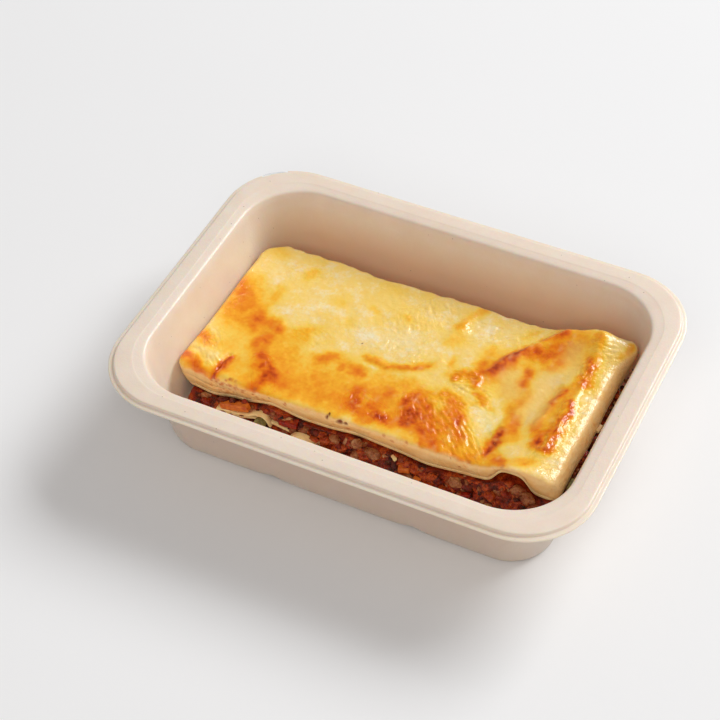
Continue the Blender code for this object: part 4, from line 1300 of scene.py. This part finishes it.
def distance_to(points, x, y):
    """Distance from each place to a line through the points."""
    nearest = np.full(np.shape(x), 1e9)
    for (ax, ay), (bx, by) in zip(points, points[1:]):
        length = (bx - ax) ** 2 + (by - ay) ** 2
        share = np.clip(((x - ax) * (bx - ax) + (y - ay) * (by - ay)) / length, 0.0, 1.0)
        nearest = np.minimum(nearest, np.hypot(x - ax - share * (bx - ax), y - ay - share * (by - ay)))
    return nearest


def stroke_cover(strokes, x, y):
    """How far the strokes cover each place, from 0 to 1, fading out softly at their edges."""
    bare = np.ones(np.shape(x))
    for points, half_width, strength in strokes:
        distance = distance_to(points, x, y)
        bare = bare * (1.0 - strength * smoothstep(1.75 * half_width, 0.1 * half_width, distance))
    return 1.0 - bare


def top_relief(x, y):
    """Creases, wrinkles and small bumps on the baked top."""
    bend_x = x + 1.0 * waver(x, y, 6.0, 60.0)
    bend_y = y + 1.0 * waver(x, y, 6.0, 61.0)
    relief = sum(height * waver(x, y, length, 62.0 + height) for length, height in TOP_GRAIN)
    for points, half_width, height in TOP_CREASES:
        relief = relief + height * np.exp(-((distance_to(points, bend_x, bend_y) / half_width) ** 2))
    for index, (points, half_width, strength, heading, width, length) in enumerate(TOP_WRINKLES):
        turn = math.radians(heading)
        along = bend_x * math.cos(turn) + bend_y * math.sin(turn)
        across = bend_y * math.cos(turn) - bend_x * math.sin(turn)
        cover = smoothstep(1.3 * half_width, 0.5 * half_width, distance_to(points, x, y))
        near = cover > 0.0
        folds = np.zeros(np.shape(x))
        spots = (across[near] / width, along[near] / length)
        sharp = np.abs(waver(*spots, 1.3, 170.0 + index))
        folds[near] = waver(*spots, 1.0, 70.0 + index) + 0.6 - 1.8 * sharp
        relief = relief + strength * cover * folds
    return relief


def top_surface(x, y):
    return top_height(x, y) + top_relief(x, y)


def top_attributes(x, y, share):
    """Numbers that colour the slab at each point; share is 1 on top and falls down the sides."""
    bend_x = x + 1.1 * waver(x, y, 5.0, 80.0) + 0.55 * waver(x, y, 1.7, 81.0)
    bend_y = y + 1.1 * waver(x, y, 5.0, 82.0) + 0.55 * waver(x, y, 1.7, 83.0)
    golden = stroke_cover(GOLDEN_STROKES, bend_x, bend_y)
    brown = stroke_cover(BROWN_STROKES, bend_x, bend_y)
    pale = stroke_cover(PALE_STROKES, bend_x, bend_y)
    dull = stroke_cover(DULL_STROKES, bend_x, bend_y)
    mottle = 0.5 + 0.5 * waver(x, y, 3.2, 84.0) + 0.3 * waver(x, y, 1.4, 86.0)
    bake = 0.17 + 0.06 * waver(x, y, 14.0, 85.0) + 0.04 * waver(x, y, 4.0, 88.0) - 0.1 * pale
    bake = bake + 0.38 * golden * (0.7 + 0.55 * mottle) + 0.42 * brown * (0.65 + 0.65 * mottle)
    wet = stroke_cover([(points, width, 1.0) for points, width, *_ in TOP_WRINKLES], x, y)
    edge = np.interp(x, *zip(*FACE_EDGE))
    face = smoothstep(edge, edge - 0.14, share + 0.07 * waver(x, y, 2.6, 87.0))
    # the small spot on the top takes the holes' painted shade colour
    distance = np.hypot(x - TOP_SPECK[0][0], y - TOP_SPECK[0][1])
    hole = smoothstep(1.4 * TOP_SPECK[1], 0.5 * TOP_SPECK[1], distance)
    dull = 0.8 * dull * (1.0 - brown) * (1.0 - face)
    return {"bake": bake, "dull": dull, "wet": wet, "face": face, "hole": hole}


def make_baked_top():
    """Thick baked white sauce, rounded over at its top edge, with its cut front face."""
    side = [(offset * SLAB_EDGE_ROUND, share) for offset, share in EDGE_PROFILE]
    for ring in range(1, FACE_RINGS + 1):
        down = ring / FACE_RINGS
        side.append((-FACE_INSET * down**2, SIDE_STRAIGHT * (1.0 - down)))
    plan = slab_plan()
    verts, faces, shares = grid_layer(plan, FINE_CELL, top_surface, slab_foot, side, slab_lean, slab=True)
    x, y, z = verts.T
    attributes = top_attributes(x, y, shares)
    attributes["stain"] = np.zeros(len(x))
    front = (y < SLAB_FRONT + FACE_REACH) & (shares < 0.98)
    groove = z - slab_foot(x, y) - FOLD_LINE_HEIGHT + FOLD_LINE_FALL * (x - SLAB_LEFT)
    fade = smoothstep(FOLD_LINE_TO + FOLD_LINE_FADE, FOLD_LINE_TO, x)
    groove = FOLD_LINE_DEPTH * np.exp(-((groove / FOLD_LINE_WIDTH) ** 2)) * fade
    wave = FACE_WAVE * waver(x, 1.4 * z, FACE_WAVE_LENGTH, 89.0)
    y = y + np.where(front, groove + wave, 0.0)
    # holes dented into the face, darkened with painted shade
    for (along, height), (half_width, half_height) in FACE_HOLES:
        distance = np.hypot((x - along) / half_width, (z - slab_foot(x, y) - height) / half_height)
        depth = np.where(front, smoothstep(1.25, 0.4, distance), 0.0)
        attributes["hole"] = np.maximum(attributes["hole"], depth)
        y = y + HOLE_DEPTH * depth
    draw = random.Random(FACE_SPECK_SEED)
    for _ in range(FACE_SPECKS):
        loose = draw.random() < FACE_SPECK_LOOSE
        along = draw.uniform(*FACE_SPECK_SPREAD) if loose else draw.gauss(*FACE_SPECK_CLUSTER)
        height = draw.uniform(*FACE_SPECK_HEIGHTS)
        radius = draw.uniform(*FACE_SPECK_RADII)
        distance = np.hypot(x - along, 1.4 * (z - slab_foot(x, y) - height)) / radius
        depth = np.where(front, smoothstep(1.4, 0.5, distance), 0.0) * draw.uniform(0.4, 0.9)
        attributes["stain"] = np.maximum(attributes["stain"], depth)
    verts = np.stack((x, y, z), axis=1)
    material = baked_material()
    piece_from("baked_top", verts, faces, material, "baked_white_sauce", ["white_sauce_top"], attributes)


def make_sheets(material):
    plan = slab_plan(FACE_INSET)
    verts, faces, _ = grid_layer(plan, SHEET_CELL, upper_sheet_top, underside, UPPER_SHEET_SIDE, foot_lean)
    piece_from("upper_sheet", verts, faces, material, "pasta", ["pasta_sheet_top"])
    plan = sauce_plan(MIDDLE_SHEET_SPREAD)
    verts, faces, _ = grid_layer(plan, SHEET_CELL, mid_sheet_top, mid_sheet_bottom, MIDDLE_SHEET_SIDE)
    front = smoothstep(*SHEET_FRONT, verts[:, 1])
    hidden = smoothstep(*SHEET_RIGHT, verts[:, 0]) + smoothstep(*SHEET_LEFT, verts[:, 0])
    verts[:, 1] += SHEET_DRAWN_IN * front * hidden
    piece_from("wavy_sheet", verts, faces, material, "pasta", ["pasta_sheet_middle"])


# Meat sauce


def unit_ball(subdivisions):
    bm = bmesh.new()
    bmesh.ops.create_icosphere(bm, subdivisions=subdivisions, radius=1.0)
    points = np.array([vert.co for vert in bm.verts])
    faces = np.array([[vert.index for vert in face.verts] for face in bm.faces])
    bm.free()
    return points, faces


def crumble(points, length, layer):
    """Smooth noise between about -1 and 1 at points in space, given as rows of x, y and z."""
    return np.array([noise.noise(tuple(point)) for point in points / length + layer])


def uneven_ball(ball, centre, radius, stretch, turn, layer):
    """Points of an uneven lump: a ball pushed in and out by coarse and by fine noise."""
    points = ball * (1.0 + 0.42 * crumble(ball, 0.8, layer) + 0.2 * crumble(ball, 0.34, layer))[:, None]
    points = points * radius * np.array(stretch)
    cos_turn = math.cos(turn)
    sin_turn = math.sin(turn)
    x = points[:, 0] * cos_turn - points[:, 1] * sin_turn
    y = points[:, 0] * sin_turn + points[:, 1] * cos_turn
    return np.stack((x, y, points[:, 2]), axis=1) + np.array(centre)


def side_shares(plan, spacing, draw):
    """Shares of the plan's width and depth, at uneven steps round its edge."""
    width = 2.0 * plan.half[0]
    depth = 2.0 * plan.half[1]
    run = draw.uniform(0.0, spacing)
    while run < 2.0 * (width + depth):
        if run < width:
            yield 2.0 * run / width - 1.0, -1.0
        elif run < width + depth:
            yield 1.0, 2.0 * (run - width) / depth - 1.0
        elif run < 2.0 * width + depth:
            yield 1.0 - 2.0 * (run - width - depth) / width, 1.0
        else:
            yield -1.0, 1.0 - 2.0 * (run - 2.0 * width - depth) / depth
        run += spacing * draw.uniform(0.6, 1.4)


def wall_clearance(x, y, z):
    """Distance from a point inside the tray to its slanting side wall."""
    low_inset, low_height, low_radius = INNER_WALL_FOOT
    high_inset, high_height, high_radius = INNER_WALL_TOP
    share = (z - low_height) / (high_height - low_height)
    inset = low_inset + (high_inset - low_inset) * share
    radius = low_radius + (high_radius - low_radius) * share
    over_x = abs(x) - (LIP_LENGTH / 2.0 - inset - radius)
    over_y = abs(y) - (LIP_WIDTH / 2.0 - inset - radius)
    outside = math.hypot(max(over_x, 0.0), max(over_y, 0.0)) + min(max(over_x, over_y), 0.0)
    return radius - outside


def make_ragu(name, node, plan, top, bottom, side, draw, material):
    """A layer of meat sauce: an uneven core, with minced meat of all sizes on its sides."""
    verts, faces, shares = grid_layer(plan, SAUCE_CELL, top, bottom, side_rings(side, SAUCE_RINGS))
    outward = ((verts[:, :2] - plan.centre) / plan.half) ** 9
    outward = outward / np.maximum(np.linalg.norm(outward, axis=1), 1e-6)[:, None]
    relief = sum(height * crumble(verts, length, 90.0 + length) for length, height in MINCE_RELIEF)
    at_side = (shares > 0.01) & (shares < 0.99)
    verts[:, :2] += outward * np.where(at_side, relief - 0.3, 0.0)[:, None]
    points = [verts]
    all_faces = list(faces)
    tones = [0.36 + 0.34 * crumble(verts, 2.6, 91.0) + 0.22 * relief]
    start = len(verts)
    coarse = unit_ball(1)
    fine = unit_ball(2)
    spots = [spot for _ in range(MINCE_PASSES) for spot in side_shares(plan, MINCE_SPACING, draw)]
    tone_values, tone_weights = zip(*MINCE_TONES)
    for layer, (across, along) in enumerate(spots):
        radius = MINCE_SMALL + (MINCE_LARGE - MINCE_SMALL) * draw.random() ** 1.6
        hidden = along > -1.0 and draw.random() < MINCE_HIDDEN
        depth = draw.uniform(-0.75, -0.15) * radius
        x, y = (float(v[0]) for v in plan.points(np.array([across]), np.array([along]), depth))
        low = float(bottom(np.array([x]), np.array([y]))[0])
        room = float(top(np.array([x]), np.array([y]))[0]) - low
        radius = min(radius, 0.46 * room)
        z = low + radius + draw.random() * (room - 2.0 * radius)
        stretch = (draw.uniform(0.8, 1.6), draw.uniform(0.8, 1.2), draw.uniform(0.7, 1.05))
        turn = draw.uniform(0.0, math.pi)
        tone = draw.choices(tone_values, tone_weights)[0] + draw.uniform(-0.07, 0.07)
        if hidden or radius < 0.35 or wall_clearance(x, y, z) < 1.5 * radius + TOUCHING_GAP:
            continue
        ball, ball_faces = fine if radius > 0.8 and along == -1.0 else coarse
        lump = uneven_ball(ball, (x, y, z), radius, stretch, turn, 3.0 * layer)
        points.append(lump)
        all_faces.extend(map(tuple, (ball_faces + start).tolist()))
        tones.append(tone + 0.16 * crumble(lump, 1.3, 92.0))
        start += len(ball)
    attributes = {"tone": np.concatenate(tones)}
    return piece_from(name, np.concatenate(points), all_faces, material, "meat_sauce", [node], attributes)


def bank_set_back(x):
    """How far the bank of mince lies back at this place along the cut front."""
    start, end = BANK_OPEN
    return BANK_SET_BACK * smoothstep(start - 3.0, start, x) * smoothstep(end + 3.0, end, x)


def make_bank(material):
    """Mince that has slid out at the cut front, and what fell into the gap on the right."""
    draw = random.Random(MINCE_SEED + 1)
    columns = round((BANK_RIGHT - BANK_LEFT) / BANK_CELL)
    run = np.linspace(BANK_LEFT, BANK_RIGHT, columns + 1)
    x, row = np.meshgrid(run, np.arange(BANK_ROWS + 1), indexing="ij")
    x = x.ravel()
    share = 1.0 - row.ravel() / BANK_ROWS
    fronts, heights = zip(*reversed(BANK_PROFILE))
    y = np.interp(share, heights, fronts) + bank_set_back(x)
    top = upper_sauce_top(x, y)
    z = BANK_FOOT + (top - BANK_FOOT) * share
    verts = np.stack((x, y, z), axis=1)
    relief = sum(height * crumble(verts, length, 190.0 + length) for length, height in MINCE_RELIEF)
    free = smoothstep(1.0, 0.9, share) * smoothstep(0.0, 0.06, share)
    verts[:, 1] = np.maximum(verts[:, 1] - 0.9 * relief * free, BANK_LIMIT)
    verts[:, 2] += 0.6 * relief * free * smoothstep(0.97, 0.8, share)
    count = len(verts)
    behind = np.stack((x, np.full(count, BANK_BACK) + bank_set_back(x), z), axis=1)
    behind[:, 2] = np.where(share > 0.99, z - 0.3, z)
    tones = [0.36 + 0.34 * crumble(verts, 2.4, 191.0) + 0.24 * relief, np.full(count, 0.3)]
    faces = []
    rows = BANK_ROWS + 1
    for column in range(columns):
        for step in range(BANK_ROWS):
            a = column * rows + step
            b = a + rows
            faces.append((a, a + 1, b + 1, b))
            faces.append((count + a, count + b, count + b + 1, count + a + 1))
        for step in (0, BANK_ROWS):
            a = column * rows + step
            b = a + rows
            faces.append((a, b, count + b, count + a) if step == 0 else (a, count + a, count + b, b))
    for step in range(BANK_ROWS):
        last = columns * rows + step
        faces.append((step, count + step, count + step + 1, step + 1))
        faces.append((last, last + 1, count + last + 1, count + last))
    points = [verts, behind]
    start = 2 * count
    spots = []
    for _ in range(BANK_LUMPS):
        along = draw.uniform(BANK_LEFT + 2.0, BANK_RIGHT - 1.0)
        share = draw.random()
        front = float(np.interp(share, heights, fronts)) + float(bank_set_back(along))
        top = float(upper_sauce_top(along, front))
        spots.append((along, front + 0.5, BANK_FOOT + (top - BANK_FOOT) * share * 0.93, 1.0))
    for _ in range(GAP_LUMPS):
        along = draw.choice(GAP_HEAPS) + draw.gauss(0.0, GAP_SPREAD)
        height = draw.uniform(*GAP_HEIGHTS)
        spots.append((draw.uniform(*GAP_REACH), along, height, GAP_SIZE))
    tone_values, tone_weights = zip(*MINCE_TONES)
    ball, ball_faces = unit_ball(3)
    for layer, (middle, radius, tone) in enumerate(BANK_HEAPS):
        stretch = (draw.uniform(1.0, 1.35), 0.8, draw.uniform(0.7, 0.95))
        lump = uneven_ball(ball, middle, radius, stretch, draw.uniform(-0.4, 0.4), 300.0 + 5.0 * layer)
        points.append(lump)
        faces.extend(map(tuple, (ball_faces + start).tolist()))
        tones.append(tone + 0.1 * crumble(lump, 1.3, 192.0))
        start += len(ball)
    ball, ball_faces = unit_ball(2)
    for layer, (along, front, height, size) in enumerate(spots):
        radius = size * (MINCE_SMALL + (MINCE_LARGE - MINCE_SMALL) * draw.random() ** 1.8)
        turn = draw.uniform(0.0, math.pi)
        stretch = (draw.uniform(0.8, 1.6), draw.uniform(0.7, 1.0), draw.uniform(0.7, 1.05))
        tone = draw.choices(tone_values, tone_weights)[0] + draw.uniform(-0.07, 0.07)
        if size < 1.0:
            turn = 0.5 * math.pi + draw.uniform(-0.4, 0.4)
            radius = min(radius, 0.8 * (wall_clearance(along, front, height) - TOUCHING_GAP))
            if radius < 0.3:
                continue
        lump = uneven_ball(ball, (along, front + 0.25 * radius, height), radius, stretch, turn, 5.0 * layer)
        points.append(lump)
        faces.extend(map(tuple, (ball_faces + start).tolist()))
        tones.append(tone + 0.16 * crumble(lump, 1.3, 192.0))
        start += len(ball)
    attributes = {"tone": np.concatenate(tones)}
    piece_from("front_mince", np.concatenate(points), faces, material, "meat_sauce", (), attributes)


def make_ragu_layers(material):
    draw = random.Random(MINCE_SEED)
    make_bank(material)
    make_ragu(
        "upper_ragu",
        "meat_sauce_upper",
        sauce_plan(UPPER_SPREAD),
        upper_sauce_top,
        lambda x, y: mid_sheet_top(x, y) + TOUCHING_GAP,
        UPPER_SAUCE_SIDE,
        draw,
        material,
    )
    make_ragu(
        "lower_ragu",
        "meat_sauce_lower",
        sauce_plan(LOWER_SPREAD, LOWER_TOE),
        lambda x, y: mid_sheet_bottom(x, y) - TOUCHING_GAP,
        sauce_floor,
        LOWER_SAUCE_SIDE,
        draw,
        material,
    )


# Bits of vegetable and pasta


def lump_mesh(size, middle, turns, layer, rough=0.16):
    """Points and faces of a cut piece with soft edges: a rounded box, slightly uneven."""
    bm = bmesh.new()
    bmesh.ops.create_cube(bm, size=1.0)
    bmesh.ops.scale(bm, verts=bm.verts, vec=size)
    bmesh.ops.bevel(bm, geom=bm.edges[:], offset=0.24 * min(size), segments=3, profile=0.6, affect="EDGES")
    bmesh.ops.subdivide_edges(bm, edges=bm.edges[:], cuts=2, use_grid_fill=True)
    turn = Euler([math.radians(angle) for angle in turns]).to_matrix()
    bm.normal_update()
    points = []
    for vert in bm.verts:
        swell = noise.noise(vert.co / 1.7 + Vector((0.0, 0.0, layer)))
        points.append(tuple(turn @ (vert.co + vert.normal * (rough * swell)) + Vector(middle)))
    faces = [[vert.index for vert in face.verts] for face in bm.faces]
    bm.free()
    return points, faces


def make_bits(materials):
    kinds = {
        "carrot_piece": ("carrot_chunk", "carrot"),
        "carrot_dice": ("carrot_cube", "carrot"),
        "tomato_piece": ("tomato_chunk", "tomato"),
        "olive_piece": ("olive_chunk", "green_olive"),
    }
    for layer, (node, (name, slot)) in enumerate(kinds.items()):
        middle, size, turns = CUT_BITS[node]
        points, faces = lump_mesh(size, middle, turns, 5.0 * layer)
        piece_from(name, points, faces, materials[slot], slot, [node])
    for slot in ("pasta", "carrot", "tomato"):
        points = []
        faces = []
        for layer, (middle, size, heading, kind) in enumerate(SCRAPS):
            if kind == slot:
                more_points, more_faces = lump_mesh(size, middle, (0.0, 0.0, heading), 7.0 * layer, 0.3)
                faces += [[index + len(points) for index in face] for face in more_faces]
                points += more_points
        piece_from(slot + "_scraps", points, faces, materials[slot], slot)


def make_olive_slice(material):
    """A slice on edge, with a stone's hollow in its face and a rounded rim."""
    rings = list(OLIVE_SLICE_PROFILE)
    rings += [(share, -height) for share, height in reversed(OLIVE_SLICE_PROFILE)]
    turn = Matrix.Rotation(math.radians(OLIVE_SLICE_TILT), 3, "X")
    verts = []
    for share, height in rings:
        for step in range(OLIVE_SLICE_STEPS):
            angle = 2.0 * math.pi * step / OLIVE_SLICE_STEPS
            across = math.cos(angle)
            up = math.sin(angle)
            radius = OLIVE_SLICE_RADIUS * max(share, 0.02) * (1.0 + 0.05 * noise.noise((across, up, 2.0)))
            local = Vector((radius * across, radius * up, height * OLIVE_SLICE_THICKNESS))
            verts.append(tuple(turn @ local + Vector(OLIVE_SLICE_PLACE)))
    faces = tube_faces(len(rings), OLIVE_SLICE_STEPS)
    piece_from("olive_ring", verts, faces, material, "green_olive", ["olive_slice"])


def make_fold(material):
    """The curled edge of a torn bit of pasta: an arched strip with a wavy rim."""
    verts = []
    for step in range(FOLD_STEPS + 1):
        share = step / FOLD_STEPS
        angle = math.radians(FOLD_FROM + (FOLD_TO - FOLD_FROM) * share)
        middle_radius = FOLD_RADIUS - FOLD_THICKNESS / 2.0 + 0.2 * noise.noise((3.0 * share, 0.0, 5.0))
        for out, along in FOLD_SECTION:
            radius = middle_radius + FOLD_THICKNESS * out * (0.75 + 0.3 * math.sin(math.pi * share))
            y = FOLD_WIDTH * along * (1.0 + 0.25 * noise.noise((4.0 * share, 1.0, 7.0)))
            place = Vector((FOLD_STRETCH * radius * math.cos(angle), y, radius * math.sin(angle)))
            verts.append(tuple(place + Vector(FOLD_PLACE)))
    faces = tube_faces(FOLD_STEPS + 1, len(FOLD_SECTION))
    piece_from("pasta_curl", verts, faces, material, "pasta", ["pasta_fold"])


def make_flap(material):
    """The torn sheet's flap over the olive slice: a strip along a path, uneven along its front edge."""
    steps = FLAP_STEPS * (len(FLAP_PATH) - 1)
    run_x, run_z = np.array(FLAP_PATH).T
    spots = np.linspace(0.0, len(FLAP_PATH) - 1.0, steps + 1)
    x = np.interp(spots, np.arange(len(FLAP_PATH)), run_x)
    z = np.interp(spots, np.arange(len(FLAP_PATH)), run_z)
    for _ in range(3):
        x[1:-1] = (x[:-2] + 2.0 * x[1:-1] + x[2:]) / 4.0
        z[1:-1] = (z[:-2] + 2.0 * z[1:-1] + z[2:]) / 4.0
    slope = np.stack((np.gradient(x), np.gradient(z)), axis=1)
    slope /= np.linalg.norm(slope, axis=1)[:, None]
    verts = []
    for step in range(steps + 1):
        front = FLAP_FRONT + 0.4 * noise.noise((0.4 * x[step], 0.0, 9.0))
        half = FLAP_THICKNESS / 2.0 * (1.0 + 0.3 * noise.noise((0.6 * x[step], 2.0, 9.0)))
        for out, back in FLAP_SECTION:
            shift = out * half
            verts.append((x[step] - slope[step, 1] * shift, front + back, z[step] + slope[step, 0] * shift))
    faces = [face[::-1] for face in tube_faces(steps + 1, len(FLAP_SECTION))]
    piece_from("pasta_flap", verts, faces, material, "pasta")


# Floor, light and camera


def make_floor():
    half = FLOOR_WIDTH / 2.0
    mesh = bpy.data.meshes.new("floor")
    corners = [(-half, -half, 0.0), (half, -half, 0.0), (half, half, 0.0), (-half, half, 0.0)]
    mesh.from_pydata(corners, [], [(0, 1, 2, 3)])
    mesh.materials.append(floor_material())
    floor = bpy.data.objects.new("floor", mesh)
    bpy.context.scene.collection.objects.link(floor)


def make_softbox(name, bearing, elevation, distance, size, power, colour):
    """A rectangular light that looks at the origin; its size is its width and its height."""
    bearing = math.radians(bearing)
    elevation = math.radians(elevation)
    flat = math.cos(elevation)
    towards = Vector((math.sin(bearing) * flat, math.cos(bearing) * flat, math.sin(elevation)))
    data = bpy.data.lights.new(name, "AREA")
    data.shape = "RECTANGLE"
    data.size, data.size_y = size
    data.energy = power
    data.color = colour
    softbox = bpy.data.objects.new(name, data)
    softbox.location = towards * distance
    softbox.rotation_euler = towards.to_track_quat("Z", "Y").to_euler()
    bpy.context.scene.collection.objects.link(softbox)
    return softbox


def make_light():
    make_softbox("key", KEY_BEARING, KEY_ELEVATION, KEY_DISTANCE, KEY_SIZE, KEY_POWER, KEY_COLOUR)
    front = make_softbox(
        "front", FRONT_BEARING, FRONT_ELEVATION, FRONT_DISTANCE, FRONT_SIZE, FRONT_POWER, FRONT_COLOUR
    )
    front.visible_glossy = False
    world = bpy.data.worlds.new("studio")
    world.use_nodes = True
    background = world.node_tree.nodes["Background"]
    background.inputs["Color"].default_value = (*FILL_COLOUR, 1.0)
    paths = world.node_tree.nodes.new("ShaderNodeLightPath")
    strength = world.node_tree.nodes.new("ShaderNodeMapRange")
    strength.inputs["To Min"].default_value = FILL_STRENGTH
    strength.inputs["To Max"].default_value = FILL_STRENGTH * FILL_SHINE
    world.node_tree.links.new(paths.outputs["Is Glossy Ray"], strength.inputs["Value"])
    world.node_tree.links.new(strength.outputs["Result"], background.inputs["Strength"])
    bpy.context.scene.world = world


def make_camera():
    data = bpy.data.cameras.new("camera")
    data.lens = CAMERA_LENS
    data.sensor_width = CAMERA_SENSOR
    camera = bpy.data.objects.new("camera", data)
    camera.location = CAMERA_PLACE
    camera.rotation_euler = Euler(CAMERA_TURN)
    bpy.context.scene.collection.objects.link(camera)
    bpy.context.scene.camera = camera


def main():
    bpy.context.scene.view_settings.view_transform = "Standard"
    make_camera()
    make_light()
    make_floor()
    pasta = pasta_material()
    materials = {
        "pasta": pasta,
        "carrot": vegetable_material("cooked_carrot", CARROT_COLOURS, 0.34),
        "tomato": vegetable_material("cooked_tomato", TOMATO_COLOURS, 0.24),
        "green_olive": vegetable_material("olive_green", OLIVE_COLOURS, 0.3),
    }
    make_tray()
    make_film()
    make_baked_top()
    make_sheets(pasta)
    make_ragu_layers(meat_material())
    make_bits(materials)
    make_olive_slice(materials["green_olive"])
    make_fold(pasta)
    make_flap(pasta)


main()
